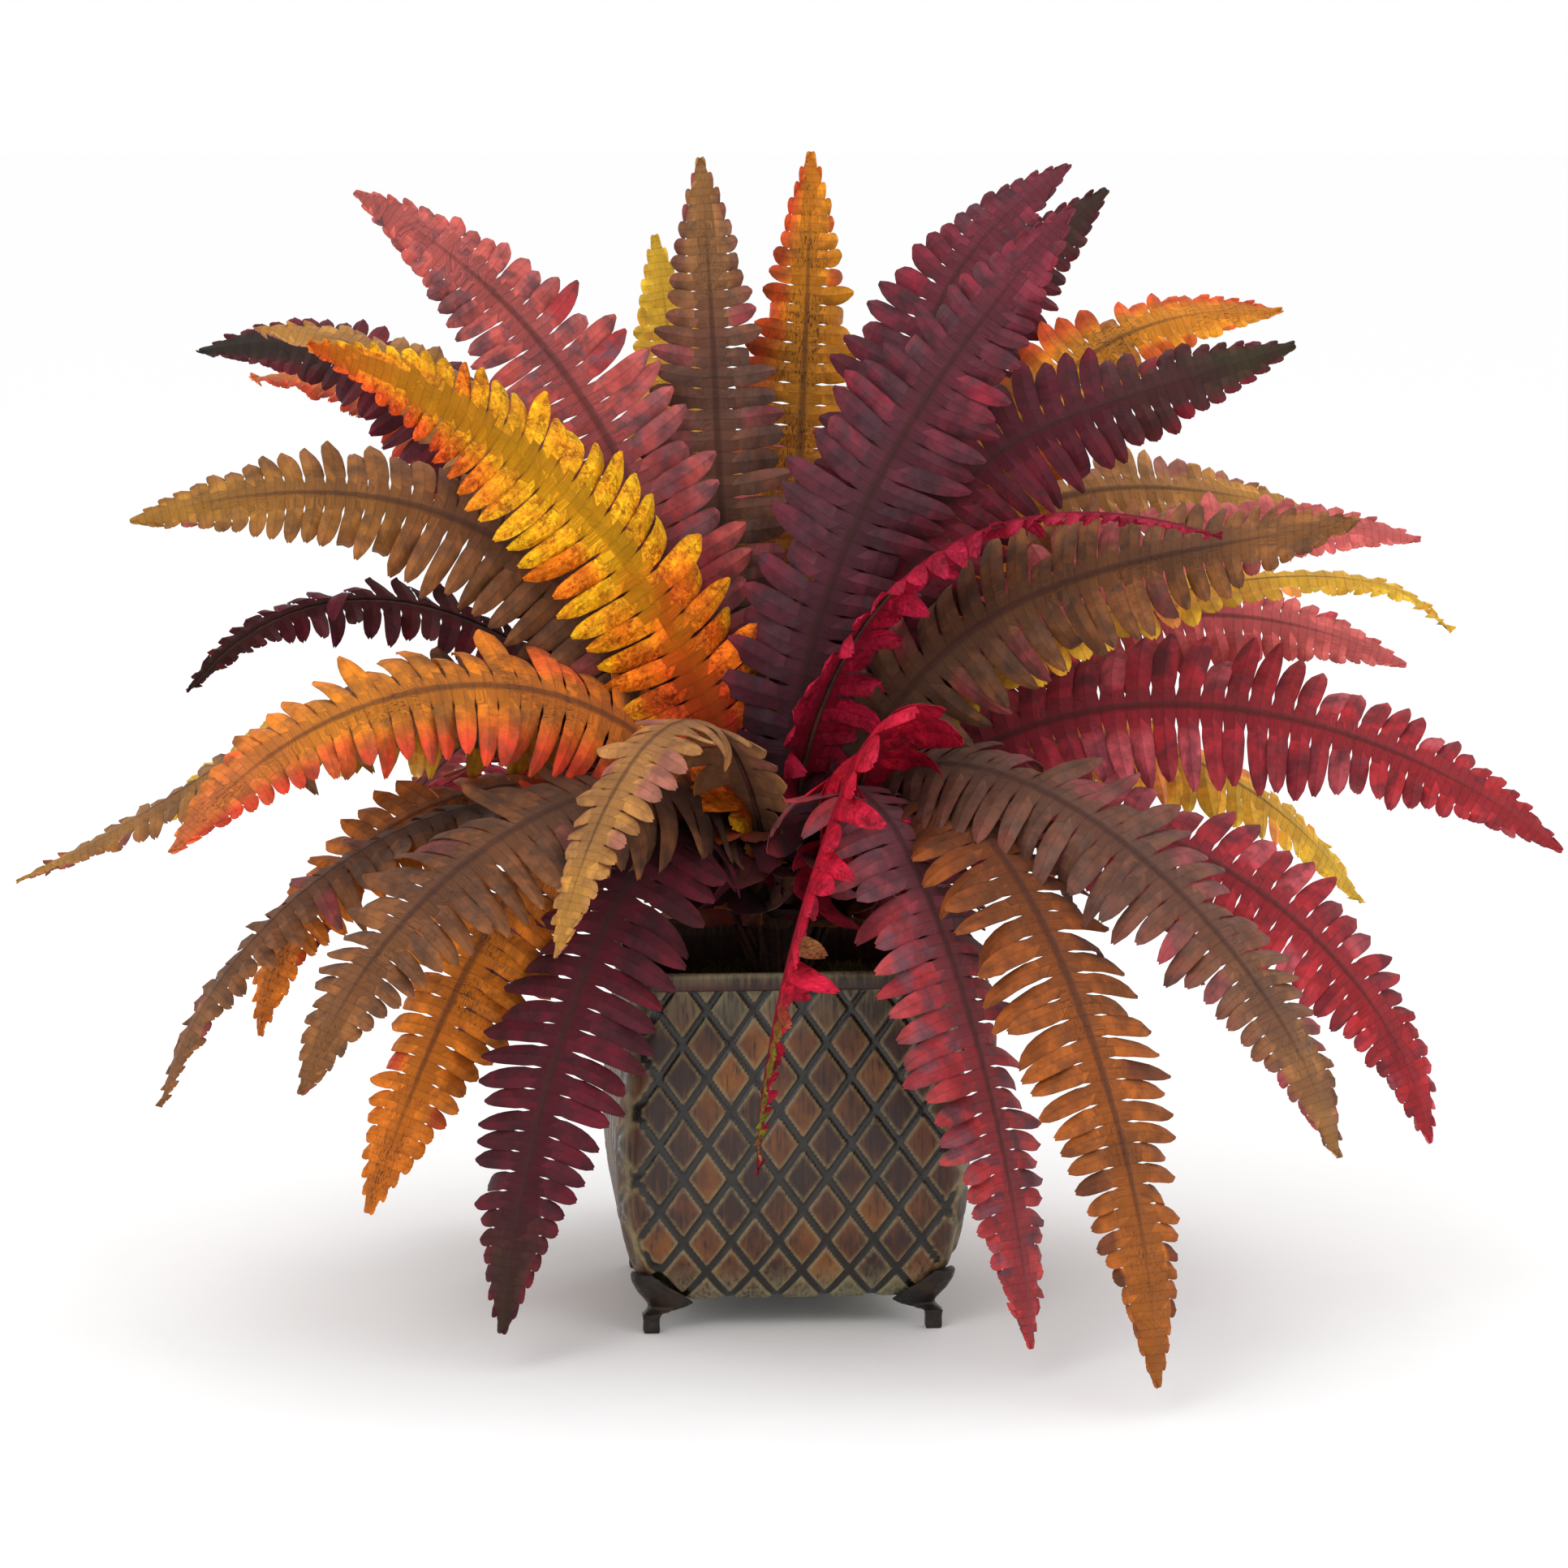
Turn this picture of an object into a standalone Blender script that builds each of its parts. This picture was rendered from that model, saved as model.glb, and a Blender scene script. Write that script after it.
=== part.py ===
"""Potted autumn fern: square quilted metal planter on four cast feet,
foam block, moss cover, plastic crown and arching fabric fronds."""
import bpy
import bmesh
import math
from mathutils import Vector
from mathutils.bvhtree import BVHTree

# ---------------------------------------------------------------- constants
# planter: (half width, height) up the outside of the wall, metres
WALL_PROFILE = (
    (0.0595, 0.0140),
    (0.0635, 0.0185),
    (0.0678, 0.0275),
    (0.0712, 0.0380),
    (0.0738, 0.0520),
    (0.0752, 0.0700),
    (0.0748, 0.0900),
    (0.0728, 0.1120),
    (0.0702, 0.1330),
    (0.0688, 0.1480),
)
RIM_HALF = 0.0715
RIM_TOP = 0.1560
WALL_THICK = 0.0018
CORNER_RADIUS = 0.0130
CORNER_STEPS = 4

FOOT_CENTER = 0.0602
LEG_HALF = 0.0037
LEG_TOP = 0.0080
ARM_LENGTH = 0.0210
FIT_GAP = 0.0004

FOAM_HALF = 0.0530
FOAM_BOTTOM = 0.0162
FOAM_TOP = 0.1250
MOSS_BOTTOM = 0.1256
MOSS_RIM_Z = 0.1400
MOSS_HALF = 0.0620
HUB_RADIUS = 0.0095
HUB_BOTTOM = 0.0900
HUB_TOP = 0.1900

STEM_HALF = 0.0013
MIDRIB_THICK = 0.0015
BLADE_SAG = 0.12
STATIONS = 15
# Fronds whose blade follows its arc without turning about its midrib.
STEADY = (1,)
STEM_STATIONS = 4
CLEARANCE = 0.0004
SETTLE_STEP = 0.86
SETTLE_ROUNDS = 120

COLORS = {
    "rose": (0.55, 0.16, 0.15),
    "crimson": (0.52, 0.02, 0.06),
    "burgundy": (0.20, 0.02, 0.05),
    "plum": (0.22, 0.07, 0.10),
    "umber": (0.33, 0.15, 0.06),
    "amber": (0.72, 0.26, 0.03),
    "gold": (0.82, 0.46, 0.03),
}

# variety, azimuth deg, reach m, tip height m, rise deg, lift m,
# droop deg, hang m, sway m, tilt deg, half width m, root tier
FRONDS = (
    ("crimson", 261, 0.128, 0.082, 66, 0.250, -86, 0.120, 0.040, 92, 0.038, 1),
    ("rose", 300, 0.180, 0.014, 72, 0.210, -82, 0.160, -0.060, 88, 0.036, 1),
    ("gold", 200, 0.213, 0.420, 70, 0.151, 16, 0.111, -0.0085, 36, 0.0365, 3),
    ("umber", 332, 0.257, 0.349, 66, 0.175, 12, 0.130, 0.015, 35, 0.036, 3),
    ("rose", 162, 0.190, 0.479, 72, 0.160, 28, 0.130, 0.000, 25, 0.038, 4),
    ("plum", 340, 0.126, 0.474, 72, 0.150, 50, 0.120, 0.000, 25, 0.038, 4),
    ("amber", 202, 0.278, 0.215, 70, 0.161, -50, 0.121, 0.001, 46, 0.0345, 2),
    ("umber", 186, 0.277, 0.344, 68, 0.170, -16, 0.140, 0.000, 35, 0.035, 3),
    ("umber", 217, 0.257, 0.124, 76, 0.140, -66, 0.120, -0.005, 60, 0.038, 2),
    ("amber", 206, 0.200, 0.060, 68, 0.180, -68, 0.130, 0.000, 55, 0.037, 1),
    ("burgundy", 226, 0.180, 0.018, 74, 0.170, -82, 0.140, 0.000, 70, 0.037, 1),
    ("amber", 302, 0.252, 0.012, 72, 0.200, -86, 0.160, -0.030, 80, 0.036, 1),
    ("umber", 320, 0.276, 0.096, 76, 0.180, -74, 0.120, 0.005, 60, 0.037, 2),
    ("rose", 342, 0.282, 0.082, 66, 0.151, -80, 0.121, 0.001, 46, 0.0345, 2),
    ("rose", 350, 0.334, 0.202, 68, 0.155, -38, 0.130, 0.000, 35, 0.035, 2),
    ("burgundy", 356, 0.219, 0.415, 74, 0.240, 18, 0.160, 0.000, 30, 0.037, 3),
    ("umber", 234, 0.174, 0.176, 74, 0.190, -68, 0.100, -0.010, 85, 0.025, 1),
    ("crimson", 324, 0.210, 0.343, 72, 0.161, -14, 0.121, -0.006, 94, 0.0255, 3),
    ("umber", 178, 0.329, 0.186, 64, 0.260, -22, 0.120, 0.000, 75, 0.033, 2),
    ("umber", 192, 0.272, 0.100, 70, 0.150, -74, 0.120, 0.000, 85, 0.029, 1),
    ("burgundy", 168, 0.262, 0.262, 70, 0.150, -52, 0.110, 0.000, 85, 0.027, 2),
    ("umber", 116, 0.070, 0.493, 80, 0.150, 80, 0.120, -0.010, 20, 0.033, 4),
    ("amber", 78, 0.100, 0.495, 80, 0.150, 84, 0.120, 0.012, 20, 0.033, 4),
    ("gold", 108, 0.150, 0.457, 72, 0.140, 66, 0.120, 0.000, 20, 0.031, 4),
    ("burgundy", 152, 0.285, 0.406, 62, 0.210, -12, 0.130, 0.005, 30, 0.033, 3),
    ("umber", 165, 0.233, 0.420, 62, 0.170, 2, 0.130, 0.000, 55, 0.031, 3),
    ("amber", 140, 0.300, 0.390, 62, 0.170, -10, 0.120, 0.000, 60, 0.031, 3),
    ("plum", 22, 0.140, 0.490, 74, 0.190, 30, 0.130, 0.000, 25, 0.035, 4),
    ("burgundy", 36, 0.192, 0.478, 72, 0.180, 30, 0.130, 0.000, 25, 0.035, 4),
    ("amber", 22, 0.250, 0.424, 68, 0.200, -4, 0.140, 0.000, 35, 0.034, 3),
    ("umber", 26, 0.280, 0.332, 70, 0.210, -12, 0.140, 0.000, 40, 0.035, 3),
    ("rose", 10, 0.292, 0.325, 68, 0.160, -14, 0.120, 0.000, 45, 0.032, 3),
    ("rose", 2, 0.274, 0.274, 68, 0.145, -26, 0.120, 0.000, 40, 0.032, 2),
    ("gold", 16, 0.280, 0.158, 68, 0.146, -54, 0.121, 0.001, 56, 0.0315, 1),
    ("gold", 170, 0.280, 0.201, 68, 0.140, -45, 0.120, 0.000, 60, 0.031, 1),
    ("amber", 184, 0.226, 0.122, 72, 0.140, -84, 0.110, 0.000, 70, 0.031, 1),
    ("umber", 60, 0.250, 0.330, 68, 0.150, 0, 0.120, 0.000, 90, 0.034, 3),
    ("crimson", 84, 0.213, 0.205, 68, 0.160, -40, 0.120, 0.000, 90, 0.034, 2),
    ("amber", 104, 0.214, 0.290, 68, 0.160, -12, 0.120, 0.000, 90, 0.034, 3),
    ("rose", 128, 0.270, 0.180, 68, 0.150, -45, 0.120, 0.000, 90, 0.034, 2),
    ("gold", 46, 0.268, 0.235, 68, 0.150, -40, 0.120, 0.000, 90, 0.033, 2),
    ("umber", 98, 0.212, 0.045, 72, 0.160, -78, 0.130, 0.000, 90, 0.034, 1),
    ("burgundy", 64, 0.230, 0.060, 72, 0.150, -75, 0.130, 0.000, 90, 0.034, 1),
    ("plum", 130, 0.215, 0.060, 72, 0.150, -76, 0.130, 0.000, 90, 0.033, 1),
    ("rose", 86, 0.195, 0.365, 72, 0.150, 14, 0.110, 0.000, 90, 0.032, 4),
    ("gold", 354, 0.287, 0.293, 68, 0.150, -62, 0.060, 0.000, 92, 0.016, 4),
    ("umber", 112, 0.222, 0.130, 70, 0.150, -65, 0.120, 0.000, 90, 0.034, 2),
    ("rose", 74, 0.220, 0.150, 70, 0.150, -60, 0.120, 0.000, 90, 0.034, 2),
    ("crimson", 148, 0.240, 0.135, 70, 0.150, -60, 0.120, 0.000, 90, 0.033, 2),
    ("plum", 34, 0.250, 0.110, 70, 0.150, -66, 0.120, 0.000, 90, 0.033, 1),
    ("burgundy", 94, 0.205, 0.330, 70, 0.160, 0, 0.110, 0.000, 90, 0.033, 3),
)

# root radius and height of each tier on the crown
TIERS = {
    1: (0.0125, 0.1460),
    2: (0.0125, 0.1560),
    3: (0.0125, 0.1660),
    4: (0.0125, 0.1760),
}


# ---------------------------------------------------------------- helpers
def clear_scene():
    for obj in list(bpy.data.objects):
        bpy.data.objects.remove(obj, do_unlink=True)


def material(name, color, rough=0.6, metal=0.0):
    mat = bpy.data.materials.new(name)
    mat.use_nodes = True
    shader = mat.node_tree.nodes["Principled BSDF"]
    shader.inputs["Base Color"].default_value = (*color, 1.0)
    shader.inputs["Roughness"].default_value = rough
    shader.inputs["Metallic"].default_value = metal
    return mat


def object_from(name, verts, faces, mat, group):
    mesh = bpy.data.meshes.new(name)
    mesh.from_pydata([tuple(v) for v in verts], [], faces)
    bm = bmesh.new()
    bm.from_mesh(mesh)
    bmesh.ops.remove_doubles(bm, verts=bm.verts, dist=0.00001)
    bmesh.ops.recalc_face_normals(bm, faces=bm.faces)
    bm.to_mesh(mesh)
    bm.free()
    mesh.materials.append(mat)
    obj = bpy.data.objects.new(name, mesh)
    group.objects.link(obj)
    return obj


def rounded_square(half, radius, z, steps=CORNER_STEPS):
    """Ring of points around a square of half width half."""
    ring = []
    reach = half - radius
    for corner, (sx, sy) in enumerate(((1, 1), (-1, 1), (-1, -1), (1, -1))):
        for i in range(steps + 1):
            a = math.radians(90.0 * corner + 90.0 * i / steps)
            x = sx * reach + radius * math.cos(a)
            y = sy * reach + radius * math.sin(a)
            ring.append(Vector((x, y, z)))
    return ring


def loft_rings(rings, cap_start=True, cap_end=True):
    """Skin equal-count rings; a one-point ring closes to an apex."""
    verts = []
    starts = []
    for ring in rings:
        starts.append(len(verts))
        verts.extend(ring)
    faces = []
    for a in range(len(rings) - 1):
        ra, rb = rings[a], rings[a + 1]
        na, nb = len(ra), len(rb)
        sa, sb = starts[a], starts[a + 1]
        n = max(na, nb)
        for i in range(n):
            j = (i + 1) % n
            if na == 1:
                faces.append((sa, sb + i, sb + j))
            elif nb == 1:
                faces.append((sa + i, sa + j, sb))
            else:
                faces.append((sa + i, sa + j, sb + j, sb + i))
    if cap_start and len(rings[0]) > 2:
        faces.append(tuple(range(starts[0], starts[0] + len(rings[0]))))
    if cap_end and len(rings[-1]) > 2:
        faces.append(tuple(range(starts[-1], starts[-1] + len(rings[-1]))))
    return verts, faces


def split_blade(faces):
    """Split a blade's quads alike on top and underside: edge corner to the next spine corner."""
    tris = []
    for face in faces:
        if len(face) == 4:
            k = face.index(min(v for v in face if (v - 1) % 2 == 0))
            face = face[k:] + face[:k]
        for t in range(1, len(face) - 1):
            tris.append((face[0], face[t], face[t + 1]))
    return tris


def cut(obj, cutter):
    """Exact boolean difference, applied."""
    mod = obj.modifiers.new("cut", "BOOLEAN")
    mod.operation = "DIFFERENCE"
    mod.solver = "EXACT"
    mod.object = cutter
    graph = bpy.context.evaluated_depsgraph_get()
    mesh = bpy.data.meshes.new_from_object(obj.evaluated_get(graph))
    obj.modifiers.clear()
    obj.data = mesh


# ---------------------------------------------------------------- planter
def build_shell(group):
    rings = [rounded_square(h, CORNER_RADIUS, z) for h, z in WALL_PROFILE]
    rings.append(rounded_square(RIM_HALF, CORNER_RADIUS + 0.002, 0.1500))
    rings.append(rounded_square(RIM_HALF, CORNER_RADIUS + 0.002, RIM_TOP))
    inner_half = WALL_PROFILE[-1][0] - WALL_THICK
    inner_radius = CORNER_RADIUS - WALL_THICK
    rings.append(rounded_square(inner_half, inner_radius, RIM_TOP))
    for h, z in reversed(WALL_PROFILE):
        level = max(z, WALL_PROFILE[0][1] + WALL_THICK)
        rings.append(rounded_square(h - WALL_THICK, inner_radius, level))
    verts, faces = loft_rings(rings)
    mat = material("planter_shell", (0.12, 0.055, 0.02), 0.45, 0.6)
    return object_from("planter_shell", verts, faces, mat, group)


def wall_half(z):
    """Outside half width of the planter at height z."""
    for (h0, z0), (h1, z1) in zip(WALL_PROFILE, WALL_PROFILE[1:]):
        if z <= z1:
            f = min(max((z - z0) / (z1 - z0), 0.0), 1.0)
            return h0 + (h1 - h0) * f
    return WALL_PROFILE[-1][0]


def foot_plan(c, arm, z):
    """Corner bracket outline: outer corner at c, arms reaching back."""
    points = (
        (c - arm, c - 0.0006),
        (c - arm * 0.5, c),
        (c - 0.0060, c),
        (c - 0.0018, c - 0.0018),
        (c, c - 0.0060),
        (c, c - arm * 0.5),
        (c - 0.0006, c - arm),
        (c - 0.0070, c - arm * 0.8),
        (c - 0.0130, c - 0.0130),
        (c - arm * 0.8, c - 0.0070),
    )
    return [Vector((x, y, z)) for x, y in points]


def leg_plan(half, z):
    """Square section with the same point count as the bracket."""
    c = FOOT_CENTER
    points = (
        (-1.0, 0.6),
        (-1.0, 1.0),
        (0.3, 1.0),
        (1.0, 1.0),
        (1.0, 0.3),
        (1.0, -1.0),
        (0.6, -1.0),
        (0.0, -1.0),
        (-1.0, -1.0),
        (-1.0, 0.0),
    )
    return [Vector((c + x * half, c + y * half, z)) for x, y in points]


def build_foot(name, sx, sy, group, cutters, mat):
    """Cast foot: short leg, tapering arms and a lobe up the corner."""
    arm = ARM_LENGTH
    low = WALL_PROFILE[0][1]
    rings = [
        leg_plan(LEG_HALF, 0.0),
        leg_plan(LEG_HALF * 0.92, 0.0050),
        leg_plan(LEG_HALF * 1.05, LEG_TOP),
        foot_plan(wall_half(low) + 0.0014, arm * 0.72, 0.0102),
        foot_plan(wall_half(low) + 0.0030, arm, low - 0.0012),
        foot_plan(wall_half(0.0175) + 0.0034, arm * 0.92, 0.0175),
        foot_plan(wall_half(0.0225) + 0.0032, arm * 0.66, 0.0225),
        foot_plan(wall_half(0.0270) + 0.0020, arm * 0.46, 0.0270),
    ]
    verts, faces = loft_rings(rings)
    verts = [Vector((v.x * sx, v.y * sy, v.z)) for v in verts]
    foot = object_from(name, verts, faces, mat, group)
    grown = []
    for h, z in WALL_PROFILE:
        level = z - FIT_GAP
        grown.append(rounded_square(h + FIT_GAP, CORNER_RADIUS, level))
    cv, cf = loft_rings(grown)
    tool = object_from("seat_for_" + name, cv, cf, mat, cutters)
    tool.hide_render = True
    cut(foot, tool)
    return foot


# ---------------------------------------------------------------- filling
def build_foam(group, cutters):
    rings = [
        rounded_square(FOAM_HALF, 0.012, FOAM_BOTTOM),
        rounded_square(FOAM_HALF + 0.010, 0.012, FOAM_BOTTOM + 0.020),
        rounded_square(FOAM_HALF + 0.014, 0.012, FOAM_BOTTOM + 0.040),
        rounded_square(FOAM_HALF + 0.014, 0.012, FOAM_TOP),
    ]
    verts, faces = loft_rings(rings)
    mat = material("foam_block", (0.16, 0.20, 0.12), 0.95)
    obj = object_from("foam_block", verts, faces, mat, group)
    ring = []
    for i in range(20):
        a = 2.0 * math.pi * i / 20
        r = HUB_RADIUS + FIT_GAP
        ring.append((r * math.cos(a), r * math.sin(a)))
    low = [Vector((x, y, HUB_BOTTOM - FIT_GAP)) for x, y in ring]
    top = [Vector((x, y, FOAM_TOP + 0.02)) for x, y in ring]
    cv, cf = loft_rings([low, top])
    tool = object_from("hub_bore", cv, cf, mat, cutters)
    tool.hide_render = True
    cut(obj, tool)
    return obj


def build_moss(group):
    """Domed ring of moss around the crown, over the foam."""
    steps = 40
    rings = []
    profile = (
        (HUB_RADIUS + 0.0008, MOSS_BOTTOM),
        (MOSS_HALF, MOSS_BOTTOM),
        (MOSS_HALF + 0.002, MOSS_BOTTOM + 0.006),
        (MOSS_HALF - 0.006, MOSS_RIM_Z - 0.004),
        (0.044, MOSS_RIM_Z),
        (0.026, MOSS_RIM_Z + 0.001),
        (HUB_RADIUS + 0.0008, MOSS_RIM_Z - 0.002),
    )
    for k, (r, z) in enumerate(profile):
        ring = []
        for i in range(steps):
            a = 2.0 * math.pi * i / steps
            square = 1.0
            if r > 0.05:
                m = max(abs(math.cos(a)), abs(math.sin(a)))
                square = min(1.0 / m, 1.06)
            bump = 0.0
            if k in (3, 4, 5):
                bump = 0.0012 * math.sin(7 * a + k) + 0.0008 * math.sin(11 * a)
            x = r * square * math.cos(a)
            y = r * square * math.sin(a)
            ring.append(Vector((x, y, z + bump)))
        rings.append(ring)
    verts, faces = loft_rings(rings, False, False)
    n = len(rings)
    for i in range(steps):
        j = (i + 1) % steps
        faces.append(((n - 1) * steps + i, (n - 1) * steps + j, j, i))
    mat = material("moss_cover", (0.10, 0.13, 0.04), 0.95)
    return object_from("moss_cover", verts, faces, mat, group)


def build_hub(group):
    profile = (
        (HUB_RADIUS * 0.86, HUB_BOTTOM),
        (HUB_RADIUS, HUB_BOTTOM + 0.002),
        (HUB_RADIUS, HUB_TOP - 0.008),
        (HUB_RADIUS * 0.86, HUB_TOP - 0.003),
        (HUB_RADIUS * 0.55, HUB_TOP),
    )
    rings = []
    for r, z in profile:
        ring = []
        for i in range(20):
            a = 2.0 * math.pi * i / 20
            ring.append(Vector((r * math.cos(a), r * math.sin(a), z)))
        rings.append(ring)
    verts, faces = loft_rings(rings)
    mat = material("crown_stem", (0.09, 0.05, 0.03), 0.5)
    return object_from("crown_stem", verts, faces, mat, group)


# ---------------------------------------------------------------- fronds
def bezier(p, t):
    m = 1.0 - t
    return (p[0] * m ** 3 + p[1] * 3 * m * m * t
            + p[2] * 3 * m * t * t + p[3] * t ** 3)


def smooth(x):
    x = min(max(x, 0.0), 1.0)
    return x * x * (3.0 - 2.0 * x)


class Frond:
    """Midrib curve, frames and half widths of one frond."""

    def __init__(self, index, row, root_azimuth):
        (self.variety, az, reach, height, rise, lift, droop, hang,
         sway, tilt, self.half, tier) = row
        self.name = "frond_%s_%02d" % (self.variety, index)
        a = math.radians(az)
        out = Vector((math.cos(a), math.sin(a), 0.0))
        side = Vector((-math.sin(a), math.cos(a), 0.0))
        ra = math.radians(root_azimuth)
        root_out = Vector((math.cos(ra), math.sin(ra), 0.0))
        radius, z = TIERS[tier]
        up = Vector((0.0, 0.0, 1.0))
        e0 = math.radians(rise)
        e1 = math.radians(droop)
        p0 = root_out * radius + up * z
        p3 = out * reach + up * height
        start = root_out * math.cos(e0) + up * math.sin(e0)
        end = out * math.cos(e1) + up * math.sin(e1)
        p1 = p0 + start * lift + side * sway
        p2 = p3 - end * hang
        self.ctrl = (p0, p1, p2, p3)
        self.face = Vector((0.0, -math.cos(math.radians(tilt)),
                            math.sin(math.radians(tilt))))
        self.steady = index in STEADY
        self.sample()
        self.left = [self.envelope(i) for i in range(STATIONS)]
        self.right = list(self.left)

    def sample(self):
        n = 240
        pts = [bezier(self.ctrl, i / n) for i in range(n + 1)]
        run = [0.0]
        for i in range(n):
            run.append(run[-1] + (pts[i + 1] - pts[i]).length)
        self.length = run[-1]
        bare = min(0.085, 0.24 * self.length) / self.length
        self.params = []
        for i in range(STEM_STATIONS):
            self.params.append(bare * i / STEM_STATIONS)
        count = STATIONS - STEM_STATIONS
        for i in range(count):
            f = i / (count - 1)
            self.params.append(bare + (1.0 - bare) * f)
        self.bare = bare
        self.center = []
        self.side = []
        self.normal = []
        k = 0
        for s in self.params:
            want = s * self.length
            while k < n - 1 and run[k + 1] < want:
                k += 1
            span = max(run[k + 1] - run[k], 1e-9)
            f = min(max((want - run[k]) / span, 0.0), 1.0)
            c = pts[k].lerp(pts[k + 1], f)
            lo = max(k - 1, 0)
            hi = min(k + 2, n)
            tangent = (pts[hi] - pts[lo]).normalized()
            lead = self.face
            if self.steady and self.normal:
                lead = self.normal[-1]
            normal = (lead - tangent * lead.dot(tangent)).normalized()
            self.center.append(c)
            self.normal.append(normal)
            self.side.append(normal.cross(tangent).normalized())

    def envelope(self, i):
        s = self.params[i]
        if s < self.bare - 1e-6:
            return STEM_HALF
        b = (s - self.bare) / (1.0 - self.bare)
        grow = 0.42 + 0.58 * smooth(b / 0.22)
        taper = min(1.0, ((1.0 - b) / 0.38) ** 0.74)
        return max(STEM_HALF, self.half * grow * taper)

    def rings(self, margin=0.0):
        rings = [[self.center[0]]]
        for i in range(1, STATIONS - 1):
            c = self.center[i]
            sd = self.side[i]
            nm = self.normal[i]
            left = self.left[i]
            right = self.right[i]
            half = MIDRIB_THICK * 0.5 + margin
            if i < STEM_STATIONS:
                half = STEM_HALF + margin
            rings.append([
                c - sd * (left + margin) - nm * left * BLADE_SAG,
                c - nm * half,
                c + sd * (right + margin) - nm * right * BLADE_SAG,
                c + nm * half,
            ])
        rings.append([self.center[-1]])
        return rings

    def tree(self, margin):
        """BVH of the loft; keys tell which station sides each face uses."""
        verts, faces = loft_rings(self.rings(margin))
        tris = split_blade(faces)
        self.keys = [self.station_sides(tri, len(verts) - 1) for tri in tris]
        return BVHTree.FromPolygons([tuple(v) for v in verts], tris)

    def station_sides(self, tri, last):
        sides = set()
        for v in tri:
            if v in (0, last):
                continue
            station, corner = divmod(v - 1, 4)
            if corner == 0:
                sides.add((station + 1, "left"))
            elif corner == 2:
                sides.add((station + 1, "right"))
        return sides

    def shrink(self, keys, amount):
        """Narrow the named station sides; False when none can narrow."""
        changed = False
        for st, which in keys:
            row = self.left if which == "left" else self.right
            if st < STEM_STATIONS or row[st] <= STEM_HALF + 1e-6:
                continue
            row[st] = max(STEM_HALF, row[st] * amount - 0.0005)
            changed = True
        return changed


def settle(fronds):
    """Part crossing blades by narrowing the later frond first.

    Returns the pairs that still touch, which should be none."""
    trees = [f.tree(CLEARANCE) for f in fronds]
    pending = set(range(len(fronds)))
    for _ in range(SETTLE_ROUNDS):
        changed = set()
        for a in range(len(fronds)):
            for b in range(a + 1, len(fronds)):
                if a not in pending and b not in pending:
                    continue
                pairs = trees[a].overlap(trees[b])
                keys_a = set()
                keys_b = set()
                for face_a, face_b in pairs:
                    keys_a |= fronds[a].keys[face_a]
                    keys_b |= fronds[b].keys[face_b]
                if fronds[b].shrink(keys_b, SETTLE_STEP):
                    changed.add(b)
                elif fronds[a].shrink(keys_a, SETTLE_STEP):
                    changed.add(a)
        for k in changed:
            trees[k] = fronds[k].tree(CLEARANCE)
        pending = changed
        if not changed:
            break
    touching = []
    for a in range(len(fronds)):
        for b in range(a + 1, len(fronds)):
            if trees[a].overlap(trees[b]):
                touching.append((fronds[a].name, fronds[b].name))
    return touching


def root_azimuths():
    """Spread the stems of each tier evenly, in azimuth order."""
    result = {}
    for tier in TIERS:
        rows = [i for i, row in enumerate(FRONDS) if row[-1] == tier]
        rows.sort(key=lambda i: FRONDS[i][1] % 360)
        n = len(rows)
        mean = 0.0
        for k, i in enumerate(rows):
            mean += (FRONDS[i][1] % 360) - 360.0 * k / n
        mean /= max(n, 1)
        for k, i in enumerate(rows):
            result[i] = mean + 360.0 * k / n
    return result


def build_fronds(group):
    roots = root_azimuths()
    fronds = [Frond(i + 1, row, roots[i]) for i, row in enumerate(FRONDS)]
    stuck = settle(fronds)
    for pair in stuck:
        print("stems touch:", pair)
    for frond in fronds:
        verts, faces = loft_rings(frond.rings())
        faces = split_blade(faces)
        mat = material(frond.name, COLORS[frond.variety], 0.8)
        object_from(frond.name, verts, faces, mat, group)


def main():
    clear_scene()
    group = bpy.data.collections.new("potted_autumn_fern")
    cutters = bpy.data.collections.new("cutters")
    bpy.context.scene.collection.children.link(group)
    bpy.context.scene.collection.children.link(cutters)
    build_shell(group)
    iron = material("foot_iron", (0.03, 0.025, 0.02), 0.5, 0.8)
    build_foot("foot_front_left", -1, -1, group, cutters, iron)
    build_foot("foot_front_right", 1, -1, group, cutters, iron)
    build_foot("foot_back_left", -1, 1, group, cutters, iron)
    build_foot("foot_back_right", 1, 1, group, cutters, iron)
    build_foam(group, cutters)
    build_moss(group)
    build_hub(group)
    build_fronds(group)


main()
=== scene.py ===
"""Artificial potted fern: printed cloth fronds in a footed metal planter."""

import math
import random

import bmesh
import bpy
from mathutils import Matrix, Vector


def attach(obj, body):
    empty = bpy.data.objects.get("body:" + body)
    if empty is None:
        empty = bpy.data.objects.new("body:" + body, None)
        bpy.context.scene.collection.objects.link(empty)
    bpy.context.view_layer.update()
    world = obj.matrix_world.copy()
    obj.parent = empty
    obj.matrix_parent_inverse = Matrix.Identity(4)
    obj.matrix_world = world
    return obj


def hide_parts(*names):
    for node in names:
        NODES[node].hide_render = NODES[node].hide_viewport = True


bl_info = {
    "name": "Potted Cloth Fern",
    "version": (1, 0, 0),
    "blender": (4, 5, 0),
    "location": "View3D > Sidebar > Fern",
    "description": "Builds a cloth fern with leaflets, its planter and a stage",
    "category": "Object",
}

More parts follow.
